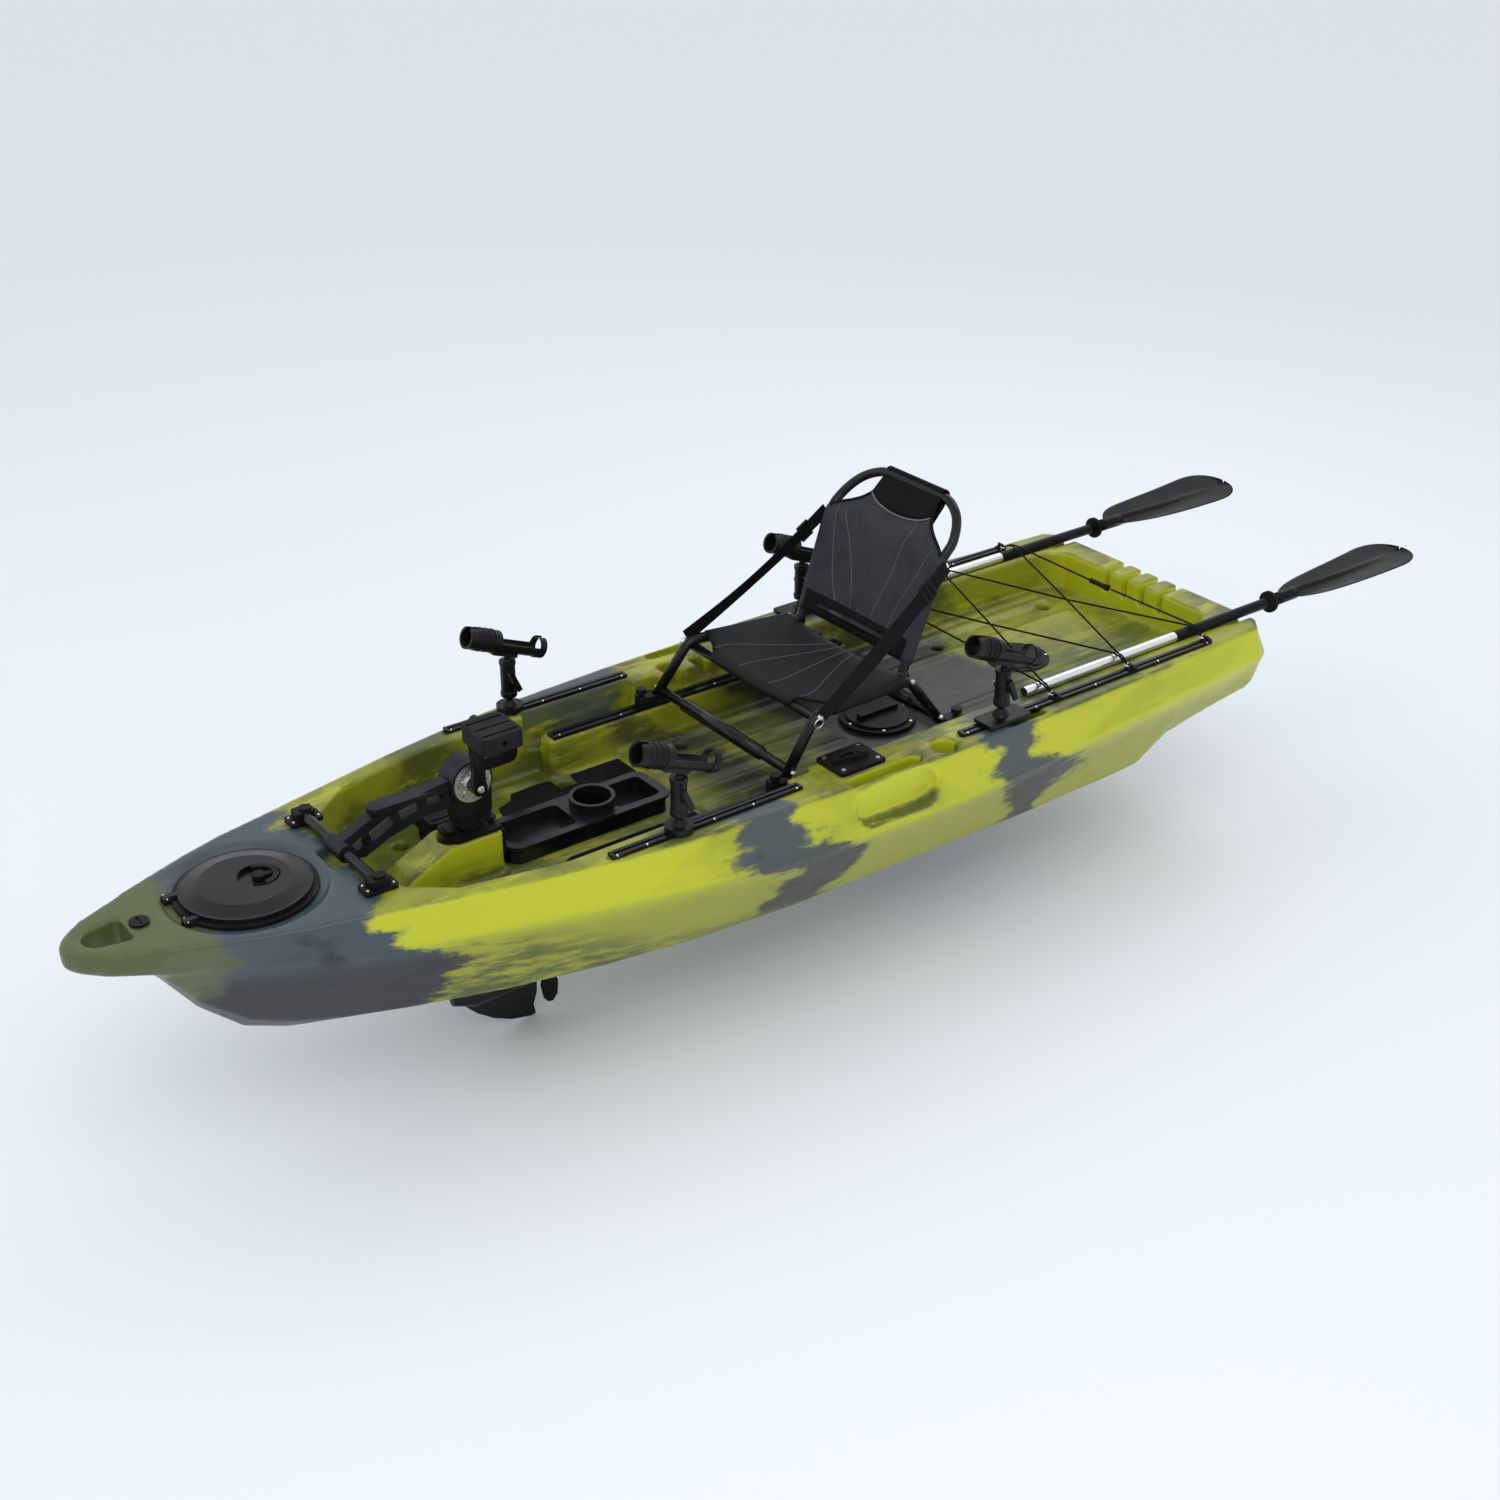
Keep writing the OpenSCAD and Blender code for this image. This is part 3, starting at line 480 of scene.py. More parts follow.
class Palette:
    """Every finish on the boat, by name: the record's material slots and the seat's own cloths."""

    def __init__(self) -> None:
        """Build the materials."""
        finishes = [
            Finish("black_plastic", (0.0075, 0.0075, 0.0085), 0.42),
            Finish("gloss_plastic", (0.0060, 0.0060, 0.0070), 0.25, grain=Grain.SATIN, sheen=0.3),
            Finish("black_metal", (0.0055, 0.0055, 0.0062), 0.22, grain=Grain.SATIN, sheen=0.25),
            Finish("drive_grey", (0.0085, 0.0100, 0.0130), 0.38, sheen=0.2),
            Finish("steel", (0.78, 0.78, 0.80), 0.42, 1.0, Grain.BRUSHED, 0.12, 0.5),
            Finish("foam", (0.0060, 0.0060, 0.0065), 0.85, grain=Grain.FOAM, sheen=0.1),
            Finish("pedal", (0.0085, 0.0085, 0.0095), 0.55),
            Finish("holder_plastic", (0.0060, 0.0060, 0.0066), 0.34, sheen=0.18),
            Finish("paddle_black", (0.0045, 0.0045, 0.0055), 0.30, grain=Grain.SATIN, sheen=0.1),
            Finish("aluminium_tube", (0.80, 0.80, 0.82), 0.27, 1.0, Grain.BRUSHED, 0.08, 0.5),
            Finish("rubber", (0.0060, 0.0060, 0.0060), 0.6, grain=Grain.RUBBER, sheen=0.12),
        ]
        self.by_slot: dict[str, bpy.types.Material] = {f.name: f.build() for f in finishes}
        self.by_slot["hull_plastic"] = Camouflage().build()
        cloths = [
            Woven("cord", (0.004, 0.004, 0.004), (0.014, 0.014, 0.014), 0.0012),
            Woven("webbing", (0.004, 0.004, 0.0045), (0.013, 0.013, 0.014), 0.0028),
            Woven("mesh_fabric", (0.014, 0.014, 0.018), (0.085, 0.082, 0.100), 0.0052, 0.85, 0.62),
            Woven("seat_fabric", (0.0075, 0.0070, 0.0085), (0.022, 0.021, 0.025), 0.0036, 0.5, 0.55),
            Woven("solid_cloth", (0.0035, 0.0035, 0.004), (0.008, 0.008, 0.009), 0.0011),
            Woven("piping", (0.16, 0.16, 0.165), (0.25, 0.25, 0.26), 0.0016, 0.0, 0.6),
            Woven("seam_thread", (0.075, 0.075, 0.085), (0.17, 0.17, 0.19), 0.0012, 0.0, 0.6),
        ]
        self.by_slot.update((cloth.name, cloth.build()) for cloth in cloths)
        self.floor = self.studio_floor()

    @staticmethod
    def studio_floor() -> bpy.types.Material:
        """The pale floor.

        Returns:
            Its material.
        """
        g = Graph("studio_floor")
        g.put(g.shader.inputs["Base Color"], (0.87, 0.90, 0.955))
        g.put(g.shader.inputs["Roughness"], 0.9)
        return g.material

    def dress_nodes(self) -> None:
        """Give each carried-over CAD node its slot's material."""
        for part in frame["record"]["subparts"]:
            node = frame["nodes"][part["node"]]
            obj = node if isinstance(node, bpy.types.Object) else bpy.data.objects[part["node"]]
            obj.data.materials.clear()
            obj.data.materials.append(self.by_slot[part["material_slot"]])


# ---------------------------------------------------------------- mesh helpers
def make(name: str, verts: Sequence, faces: Sequence, material: bpy.types.Material, body: str,
         uvs: Sequence | None = None, smooth: bool = True) -> bpy.types.Object:
    """Make a piece from vertices and faces.

    Args:
        name: the piece's name.
        verts: its vertices.
        faces: its faces, as vertex numbers.
        material: its material.
        body: the body it rides on.
        uvs: one UV for each vertex, in metres.
        smooth: whether it is shaded smooth.

    Returns:
        The new object.
    """
    mesh = bpy.data.meshes.new(name)
    mesh.from_pydata([tuple(v) for v in verts], [], [tuple(f) for f in faces])
    if uvs is not None:
        layer = mesh.uv_layers.new(name="weave")
        for loop in mesh.loops:
            layer.data[loop.index].uv = uvs[loop.vertex_index]
    return finish_mesh(name, mesh, material, body, smooth)


def finish_mesh(name: str, mesh: bpy.types.Mesh, material: bpy.types.Material, body: str,
                smooth: bool = True) -> bpy.types.Object:
    """Turn a mesh into a piece that rides on a body.

    Args:
        name: the piece's name.
        mesh: its mesh.
        material: its material.
        body: the body it rides on, or nothing to leave it unattached.
        smooth: whether it is shaded smooth.

    Returns:
        The new object.
    """
    bm = bmesh.new()
    bm.from_mesh(mesh)
    bmesh.ops.recalc_face_normals(bm, faces=bm.faces)
    bm.to_mesh(mesh)
    bm.free()
    mesh.materials.clear()
    mesh.materials.append(material)
    if smooth:
        mesh.shade_smooth()
    obj = bpy.data.objects.new(name, mesh)
    bpy.context.collection.objects.link(obj)
    if body:
        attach(obj, body)
    return obj


def tube(name: str, path: Sequence[Vector], radius: float, material: bpy.types.Material, body: str,
         sides: int = 10, closed: bool = False) -> bpy.types.Object:
    """A round tube along a path.

    Args:
        name: the piece's name.
        path: its centreline.
        radius: its radius.
        material: its material.
        body: the body it rides on.
        sides: how many sides it has.
        closed: whether the path is a loop.

    Returns:
        The new object.
    """
    verts, faces, uvs, run = [], [], [], 0.0
    count = len(path)
    up = None
    for i, p in enumerate(path):
        a = path[(i - 1) % count] if closed or i else p
        b = path[(i + 1) % count] if closed or i < count - 1 else p
        along = (Vector(b) - Vector(a)).normalized()
        if up is None:
            up = along.orthogonal().normalized()
        side = along.cross(up).normalized()
        up = side.cross(along).normalized()
        run += (Vector(p) - Vector(path[i - 1])).length if i else 0.0
        for k in range(sides):
            t = 2 * math.pi * k / sides
            verts.append(Vector(p) + radius * (math.cos(t) * up + math.sin(t) * side))
            uvs.append((radius * t, run))
    for i in range(count if closed else count - 1):
        j = (i + 1) % count
        for k in range(sides):
            n = (k + 1) % sides
            faces.append((i * sides + k, i * sides + n, j * sides + n, j * sides + k))
    if not closed:
        faces += [tuple(range(sides))[::-1], tuple((count - 1) * sides + k for k in range(sides))]
    return make(name, verts, faces, material, body, uvs)


def band(name: str, path: Sequence[Vector], across: Sequence[Vector], width: float, thick: float,
         material: bpy.types.Material, body: str) -> bpy.types.Object:
    """A flat webbing band along a path.

    Args:
        name: the piece's name.
        path: its centreline.
        across: the direction of its width at each point.
        width: its width.
        thick: its thickness.
        material: its material.
        body: the body it rides on.

    Returns:
        The new object.
    """
    verts, faces, uvs, run = [], [], [], 0.0
    last = len(path) - 1
    section = [(-0.5, -0.32), (-0.46, -0.5), (0.46, -0.5), (0.5, -0.32), (0.5, 0.32), (0.46, 0.5),
               (-0.46, 0.5), (-0.5, 0.32)]
    count = len(section)
    for i, p in enumerate(path):
        p = Vector(p)
        along = (Vector(path[min(i + 1, last)]) - Vector(path[max(i - 1, 0)])).normalized()
        wide = (Vector(across[i]) - along * along.dot(Vector(across[i]))).normalized()
        out = along.cross(wide).normalized()
        run += (p - Vector(path[i - 1])).length if i else 0.0
        for u, v in section:
            verts.append(p + wide * u * width + out * v * thick)
            uvs.append((u * width, run))
    for start in range(0, last * count, count):
        for k in range(count):
            n = (k + 1) % count
            faces.append((start + k, start + n, start + count + n, start + count + k))
    faces += [tuple(range(count)), tuple(last * count + k for k in range(count))]
    return make(name, verts, faces, material, body, uvs, smooth=False)


def smooth_path(points: Sequence[Point], steps: int = 8) -> list[Vector]:
    """A Catmull-Rom curve through points.

    Args:
        points: the points it passes.
        steps: how many pieces each span gets.

    Returns:
        The curve's points.
    """
    pts = [Vector(p) for p in points]
    pts = [pts[0] * 2 - pts[1]] + pts + [pts[-1] * 2 - pts[-2]]
    out = []
    for a, b, c, d in zip(pts, pts[1:], pts[2:], pts[3:]):
        for k in range(steps):
            t = k / steps
            out.append(0.5 * (2 * b + (c - a) * t + (2 * a - 5 * b + 4 * c - d) * t * t
                              + (3 * b - a - 3 * c + d) * t ** 3))
    out.append(pts[-2])
    return out


def eased(corners: Sequence[Vector], reach: float, steps: int = 8) -> list[Vector]:
    """A line whose corners are bent over a short length.

    Args:
        corners: the line's points.
        reach: how far from each corner its bend starts.
        steps: how many pieces each bend gets.

    Returns:
        The eased line's points.
    """
    path = [corners[0]]
    for before, corner, after in zip(corners, corners[1:], corners[2:]):
        a = corner + (before - corner).normalized() * reach
        b = corner + (after - corner).normalized() * reach
        for k in range(steps + 1):
            t = k / steps
            path.append(a * (1 - t) ** 2 + corner * (2 * t * (1 - t)) + b * t ** 2)
    return path + [corners[-1]]


def applied(obj: bpy.types.Object) -> bpy.types.Mesh:
    """The mesh of an object with its modifiers applied.

    Args:
        obj: the object.

    Returns:
        A new mesh.
    """
    bpy.context.view_layer.update()
    graph = bpy.context.evaluated_depsgraph_get()
    return bpy.data.meshes.new_from_object(obj.evaluated_get(graph), depsgraph=graph)


def reshape(piece: bpy.types.Object, *modifiers: tuple[str, dict[str, object]]) -> bpy.types.Mesh:
    """Give a piece a stack of modifiers and apply it.

    Args:
        piece: the piece.
        *modifiers: each one's type and settings.

    Returns:
        The piece's new mesh.
    """
    for kind, settings in modifiers:
        modifier = piece.modifiers.new(kind.lower(), kind)
        for key, value in settings.items():
            setattr(modifier, key, value)
    piece.data = applied(piece)
    piece.modifiers.clear()
    return piece.data


def mesh_of(bm: bmesh.types.BMesh, name: str) -> bpy.types.Mesh:
    """Turn an edit mesh into a mesh, and free it.

    Args:
        bm: the edit mesh.
        name: the mesh's name.

    Returns:
        The mesh.
    """
    mesh = bpy.data.meshes.new(name)
    bm.to_mesh(mesh)
    bm.free()
    return mesh


def add_box(bm: bmesh.types.BMesh, centre: Vector, size: Sequence[float], turn: Matrix) -> None:
    """Add a box to an edit mesh.

    Args:
        bm: the edit mesh.
        centre: the box's centre.
        size: its three sides.
        turn: how it is turned.
    """
    where = Matrix.Translation(centre) @ turn @ Matrix.Diagonal((*size, 1.0))
    bmesh.ops.create_cube(bm, size=1.0, matrix=where)


def grid_faces(rows: int, columns: int) -> list[tuple[int, int, int, int]]:
    """The faces between the vertices of a grid.

    Args:
        rows: how many rows of vertices it has.
        columns: how many vertices each row has.

    Returns:
        The faces, row by row.
    """
    corners = [i * columns + k for i in range(rows - 1) for k in range(columns - 1)]
    return [(c, c + 1, c + columns + 1, c + columns) for c in corners]


def length_of(path: Sequence[Vector]) -> float:
    """The length of a line.

    Args:
        path: its points.

    Returns:
        The length in metres.
    """
    return sum((b - a).length for a, b in zip(path, path[1:]))


# ---------------------------------------------------------------- geometry nodes
class Scatter(NodeTree):
    """A Geometry Nodes tree that puts one small turned part on every spot of a mesh."""

    sides: int = 16
    hex_sides: int = 6
    dome_top: float = 0.72
    dome_lift: float = 0.5
    hex_wide: float = 0.42
    hex_lift: float = 1.12

    def __init__(self, name: str, kind: str, material: bpy.types.Material) -> None:
        """Build the tree.

        Args:
            name: the tree's name.
            kind: "screw" for a domed head with a hexagon on it, "bead" for a plain one.
            material: the part's material.
        """
        self.material = material
        self.tree = bpy.data.node_groups.new(name, "GeometryNodeTree")
        face = self.tree.interface
        face.new_socket("Geometry", in_out="INPUT", socket_type="NodeSocketGeometry")
        self.radius = face.new_socket("Radius", in_out="INPUT", socket_type="NodeSocketFloat")
        self.height = face.new_socket("Height", in_out="INPUT", socket_type="NodeSocketFloat")
        face.new_socket("Geometry", in_out="OUTPUT", socket_type="NodeSocketGeometry")
        start = self.add("NodeGroupInput").outputs
        joined = self.add("GeometryNodeJoinGeometry")
        for part in self.parts(kind, start["Radius"], start["Height"]):
            self.tree.links.new(part, joined.inputs[0])
        facing = self.add("FunctionNodeAlignEulerToVector",
                          {"Vector": self.add("GeometryNodeInputNormal").outputs[0]}, axis="Z")
        # a spot is a triangle, and only its first corner carries a part
        corner = self.math("MODULO", self.add("GeometryNodeInputIndex").outputs[0], 3.0)
        placed = self.add("GeometryNodeInstanceOnPoints", {
            "Points": start["Geometry"], "Selection": self.math("LESS_THAN", corner, 0.5),
            "Instance": joined.outputs[0], "Rotation": facing.outputs[0]})
        real = self.add("GeometryNodeRealizeInstances", {0: placed.outputs[0]})
        painted = self.add("GeometryNodeSetMaterial", {0: real.outputs[0], "Material": material})
        self.add("NodeGroupOutput", {0: painted.outputs[0]})

    def parts(self, kind: str, radius: bpy.types.NodeSocket,
              height: bpy.types.NodeSocket) -> list[bpy.types.NodeSocket]:
        """The solids one part is made of.

        Args:
            kind: "screw" or "bead".
            radius: the part's radius.
            height: its height.

        Returns:
            Each solid's mesh socket.
        """
        disc = self.add("GeometryNodeMeshCylinder",
                        {"Vertices": self.sides, "Radius": radius, "Depth": height}).outputs[0]
        if kind == "bead":
            return [disc]
        dome = self.add("GeometryNodeMeshCone", {
            "Vertices": self.sides, "Radius Top": self.times(radius, self.dome_top),
            "Radius Bottom": radius, "Depth": height}).outputs[0]
        hexagon = self.add("GeometryNodeMeshCylinder", {
            "Vertices": self.hex_sides, "Radius": self.times(radius, self.hex_wide),
            "Depth": height}).outputs[0]
        return [disc, self.raised(dome, self.times(height, self.dome_lift)),
                self.raised(hexagon, self.times(height, self.hex_lift))]

    def raised(self, solid: bpy.types.NodeSocket, lift: bpy.types.NodeSocket) -> bpy.types.NodeSocket:
        """Lift a solid.

        Args:
            solid: its mesh socket.
            lift: how far it goes up.

        Returns:
            The lifted solid's socket.
        """
        move = self.add("ShaderNodeCombineXYZ", {"Z": lift}).outputs[0]
        return self.add("GeometryNodeTransform", {"Geometry": solid, "Translation": move}).outputs[0]

    def place(self, name: str, spots: Sequence[tuple[Point, Point]], radius: float, height: float,
              body: str) -> bpy.types.Object:
        """Put a part at each spot.

        Args:
            name: the piece's name.
            spots: each part's place and the way it faces.
            radius: the part's radius.
            height: its height.
            body: the body it rides on.

        Returns:
            One piece that holds all of them.
        """
        bm = bmesh.new()
        for where, facing in spots:
            out = Vector(facing).normalized()
            side = out.orthogonal().normalized() * 1e-5
            other = out.cross(side)
            corners = (side, -0.5 * side + other, -0.5 * side - other)
            bm.faces.new([bm.verts.new(Vector(where) + corner) for corner in corners])
        host = bpy.data.objects.new(name + "_spots", mesh_of(bm, name + "_spots"))
        bpy.context.collection.objects.link(host)
        modifier = host.modifiers.new("scatter", "NODES")
        modifier.node_group = self.tree
        modifier[self.radius.identifier] = radius
        modifier[self.height.identifier] = height
        made = applied(host)
        bpy.data.objects.remove(host)
        return finish_mesh(name, made, self.material, body, smooth=False)


# ---------------------------------------------------------------- the boat
@dataclass
class HullShell:
    """The rotomoulded hull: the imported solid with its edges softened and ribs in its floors."""

    voxel: float = 0.0062
    most_triangles: int = 188000
    rib_high: float = 0.007
    rib_wide: float = 0.020
    rib_deep: float = 0.010
    floors: tuple[tuple[float, float, float, tuple[float, ...]], ...] = (
        (-1.34, -0.70, 0.236, (0.125, 0.222, 0.262)), (-0.40, 0.05, 0.205, (0.04, 0.105, 0.215)),
        (0.30, 0.55, 0.188, (0.262,)))

    def ribs(self) -> list[tuple[Point, Point]]:
        """The ribs moulded into the floors.

        Returns:
            Each rib's low and high corner.
        """
        half = self.rib_wide / 2
        return [((x0, side * y - half, floor - self.rib_deep),
                 (x1, side * y + half, floor + self.rib_high))
                for x0, x1, floor, rows in self.floors for y in rows for side in (-1, 1)]

    def build(self, palette: Palette) -> bpy.types.Object:
        """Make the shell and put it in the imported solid's place.

        Args:
            palette: the boat's finishes.

        Returns:
            The shell.
        """
        node = frame["nodes"]["hull"]
        node = node if isinstance(node, bpy.types.Object) else bpy.data.objects["hull"]
        bm = bmesh.new()
        bm.from_mesh(node.data)
        bmesh.ops.remove_doubles(bm, verts=bm.verts, dist=1e-5)
        for low, high in self.ribs():
            centre = (Vector(high) + Vector(low)) / 2
            add_box(bm, centre, Vector(high) - Vector(low), Matrix.Identity(4))
        rough = bpy.data.objects.new("hull_rough", mesh_of(bm, "hull_shell"))
        bpy.context.collection.objects.link(rough)
        skin = {"mode": "VOXEL", "voxel_size": self.voxel, "use_smooth_shade": True}
        first = reshape(rough, ("REMESH", skin), ("SMOOTH", {"factor": 0.5, "iterations": 5}))
        triangles = sum(len(p.vertices) - 2 for p in first.polygons)
        share = min(1.0, self.most_triangles / triangles)
        final = reshape(rough, ("DECIMATE", {"ratio": share}))
        bpy.data.objects.remove(rough)
        shell = finish_mesh("hull_shell", final, palette.by_slot["hull_plastic"], "hull")
        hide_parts("hull")
        LOG.info("hull_shell: %d triangles", sum(len(p.vertices) - 2 for p in final.polygons))
        return shell


@dataclass
class Sling:
    """Cloth stretched between two tubes, wrapped round each and cut away at two corners."""

    name: str
    body: str
    up: Callable[[float], tuple[Vector, Vector]]
    tube_y: Callable[[float], float]
    wrap: float
    sag: float
    rows: Sequence[float]
    tongue: Sequence[tuple[float, float, float]]
    angles: tuple[float, ...] = (-75.0, -40.0, -10.0, 20.0, 50.0, 80.0)
    inner: int = 14

    def surface(self, s: float, y: float) -> Vector:
        """A point on the cloth between the tubes.

        Args:
            s: the distance along the sling.
            y: the distance across it.

        Returns:
            The point.
        """
        spot, out = self.up(s)
        wide = self.tube_y(s)
        fall = 1.0 - min(1.0, abs(y) / wide) ** 2.2
        return spot + Vector((0, y, 0)) + out * (self.wrap - self.sag * fall)

    def row(self, s: float) -> list[Vector]:
        """One full row of points, from one tube's underside to the other's.

        Args:
            s: the distance along the sling.

        Returns:
            The row's points.
        """
        spot, out = self.up(s)
        wide = self.tube_y(s)
        left = [spot + Vector((0, wide + self.wrap * math.cos(math.radians(a)), 0))
                + out * self.wrap * math.sin(math.radians(a)) for a in self.angles]
        inside = [self.surface(s, wide * (1 - 2 * k / self.inner) * 0.985) for k in range(self.inner + 1)]
        right = [Vector((p.x, -p.y, p.z)) for p in reversed(left)]
        return left + inside + right

    def build(self, material: bpy.types.Material, node: str, held_by: str) -> bpy.types.Object:
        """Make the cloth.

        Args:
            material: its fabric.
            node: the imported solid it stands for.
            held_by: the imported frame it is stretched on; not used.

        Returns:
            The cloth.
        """
        verts, uvs = [], []
        rows = [self.row(s) for s in self.rows]
        count = len(rows[0])
        edge = len(self.angles)
        for s, row in zip(self.rows, rows):
            run = 0.0
            for k, p in enumerate(row):
                run += (p - row[k - 1]).length if k else 0.0
                verts.append(p)
                uvs.append((run, s))
        faces = grid_faces(len(rows), count)
        previous = [(len(rows) - 1) * count + edge + k for k in range(self.inner + 1)]
        for s, wide, drop in self.tongue:
            spot, out = self.up(s)
            now = []
            for k in range(self.inner + 1):
                y = wide * (1 - 2 * k / self.inner)
                base = self.surface(s, y)
                verts.append(base - out * drop)
                uvs.append((0.25 - y, s))
                now.append(len(verts) - 1)
            for k in range(self.inner):
                faces.append((previous[k], previous[k + 1], now[k + 1], now[k]))
            previous = now
        cloth = make(self.name, verts, faces, material, self.body, uvs)
        reshape(cloth, ("SOLIDIFY", {"thickness": 0.0022, "offset": 0.0})).shade_smooth()
        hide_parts(node)
        wide = max(length_of(row) for row in rows)
        return cloth

    def seam(self, name: str, line: Sequence[tuple[float, float]], lift: float, radius: float,
             material: bpy.types.Material) -> bpy.types.Object:
        """A raised seam that lies on the cloth.

        Args:
            name: the piece's name.
            line: the seam's (along, across) points.
            lift: how far it stands off the cloth's middle.
            radius: its radius.
            material: its material.

        Returns:
            The seam.
        """
        fine = smooth_path([(s, y, 0.0) for s, y in line], 7)
        path = [self.surface(p.x, p.y) + self.up(p.x)[1] * lift for p in fine]
        return tube(name, path, radius, material, self.body, 8)


@dataclass
class Seat:
    """The raised frame seat: seat cloth, back cloth, head patch, straps and bolts."""

    tube_r: float = 0.0125
    back_r: float = 0.0115
    lean: float = math.radians(20)
    top_lean: float = math.radians(42)
    bend: float = 0.285
    strap_wide: float = 0.038
    cloth_gap: float = 0.0018
    seam_lift: float = 0.0012
    seam_r: float = 0.0011

    def seat_line(self, s: float) -> tuple[Vector, Vector]:
        """The plane of the seat tubes.

        Args:
            s: the distance along the hull.

        Returns:
            The centreline point and the upward direction.
        """
        t = (s + 0.440) / 0.301
        front = max(0.0, s + 0.150)
        return Vector((s, 0, 0.430 + 0.011 * min(t, 1.0) - front * 0.1)), Vector((0, 0, 1))

    def seat_tube(self, s: float) -> float:
        """Half the distance between the seat tubes.

        Args:
            s: the distance along the hull.

        Returns:
            The half distance.
        """
        return 0.219 + 0.026 * min(1.0, (s + 0.440) / 0.301)

    def back_line(self, s: float) -> tuple[Vector, Vector]:
        """The plane of the back hoop, eased over its bend.

        Args:
            s: the distance up the back.

        Returns:
            The centreline point and the forward direction.
        """
        low, high, room = self.lean, self.top_lean, 0.03
        blend = min(1.0, max(0.0, (s - self.bend + room) / (2 * room)))
        angle = low + (high - low) * blend
        first = min(s, self.bend)
        rest = max(0.0, s - self.bend)
        spot = HINGE + Vector((-first * math.sin(low) - rest * math.sin(high), 0,
                               first * math.cos(low) + rest * math.cos(high)))
        return spot, Vector((math.cos(angle), 0, math.sin(angle)))

    def back_tube(self, s: float) -> float:
        """Half the distance between the back tubes.

        Args:
            s: the distance up the back.

        Returns:
            The half distance.
        """
        if s <= self.bend:
            return 0.192 + 0.011 * s / self.bend
        return max(0.09, 0.203 - 0.003 * (s - self.bend) / 0.055)

    def tubes(self, palette: Palette) -> None:
        """The bent tubes of the seat and its back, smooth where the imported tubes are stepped.

        Args:
            palette: the boat's finishes.
        """
        metal = palette.by_slot["black_metal"]
        half = [(0.0, 0.192), (0.10, 0.1959), (0.20, 0.1998), (0.285, 0.203), (0.340, 0.200),
                (0.390, 0.174), (0.420, 0.134), (0.430, 0.090)]
        spots = half + [(0.4308, 0.0)] + [(s, -y) for s, y in reversed(half)]
        path = smooth_path([self.back_line(s)[0] + Vector((0, y, 0)) for s, y in spots])
        hoop = tube("back_hoop", path, self.back_r, metal, "seat_back", 20)
        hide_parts("back_frame")
        leg = ((-0.044, 0.256, 0.312), (-0.139, 0.245, 0.441), (-0.440, 0.219, 0.430),
               (-0.520, 0.246, 0.312))
        for tag, side in (("port", 1), ("starboard", -1)):
            corners = [Vector((x, y * side, z)) for x, y, z in leg]
            legs = tube(f"seat_legs_{tag}", eased(corners, 0.028), self.tube_r, metal, "seat", 20)
            if side > 0:
                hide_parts("seat_frame")
        for name, a, b, radius, body in self.bars(Vector(leg[0])):
            piece = tube(name, [a, a.lerp(b, 0.5), b], radius, metal, body, 20)

    def bars(self, foot: Vector) -> list[tuple[str, Vector, Vector, float, str]]:
        """The straight bars, pivots and plugs of the seat and its back.

        Args:
            foot: the port leg's front end.

        Returns:
            Each one's name, ends, radius and body.
        """
        low = self.back_line(0.060)[0]
        reach = Vector((0, 0.193, 0))
        bars = [("back_foot_bar", low + reach, low - reach, 0.010, "seat_back")]
        for tag, side in (("port", 1), ("starboard", -1)):
            inner, outer = (HINGE + Vector((0, y * side, 0)) for y in (0.188, 0.2055))
            bars.append((f"back_pivot_{tag}", inner, outer, 0.015, "seat_back"))
            toe = Vector((foot.x, foot.y * side, foot.z))
            bars.append((f"seat_toe_{tag}", toe, toe + Vector((0.014, 0, -0.002)), 0.0105, "seat"))
        cross = (("bar_fore", -0.058, 0.254, 0.328, 0.0115), ("sleeve_fore", -0.058, 0.150, 0.328, 0.0165),
                 ("bar_aft", -0.512, 0.244, 0.326, 0.0115), ("sleeve_aft", -0.512, 0.150, 0.326, 0.0165),
                 ("bar_upper", -0.150, 0.245, 0.424, 0.011))
        return bars + [(f"seat_{name}", Vector((x, y, z)), Vector((x, -y, z)), radius, "seat")
                       for name, x, y, z, radius in cross]

    def cloths(self, palette: Palette) -> None:
        """Make both slings with their seams.

        Args:
            palette: the boat's finishes.
        """
        seam, binding = palette.by_slot["seam_thread"], palette.by_slot["solid_cloth"]
        rows = [-0.424 + 0.234 * k / 12 for k in range(13)]
        tongue = [(-0.184, 0.232, 0.0), (-0.176, 0.214, 0.0), (-0.168, 0.192, 0.0), (-0.160, 0.172, 0.0),
                  (-0.150, 0.160, 0.001), (-0.142, 0.155, 0.005), (-0.1375, 0.152, 0.012),
                  (-0.1370, 0.150, 0.022)]
        seat = Sling("seat_cloth", "seat", self.seat_line, self.seat_tube, self.tube_r + self.cloth_gap,
                     0.014, rows, tongue)
        seat.build(palette.by_slot["seat_fabric"], "seat_panel", "seat_frame")
        for i, y in enumerate((-0.155, -0.055, 0.055, 0.155)):
            line = [(-0.420, y * 0.25), (-0.36, y * 0.42), (-0.28, y * 0.72), (-0.20, y * 1.02),
                    (-0.150, y * 1.05)]
            seat.seam(f"seat_seam_{i}", line, self.seam_lift, self.seam_r, seam)
        edge = [(-0.1885, 0.236), (-0.180, 0.222), (-0.170, 0.197), (-0.160, 0.172), (-0.150, 0.160)]
        for k, side in enumerate((-1, 1)):
            seat.seam(f"seat_corner_binding_{k}", [(s, y * side) for s, y in edge], 0.0, 0.0036, binding)
        rows = [0.034 + 0.262 * k / 14 for k in range(15)]
        tongue = [(0.306, 0.194, 0.0), (0.318, 0.172, 0.0), (0.332, 0.148, 0.0), (0.350, 0.124, 0.0),
                  (0.372, 0.106, 0.0), (0.395, 0.098, 0.0), (0.415, 0.095, 0.0), (0.428, 0.094, 0.0)]
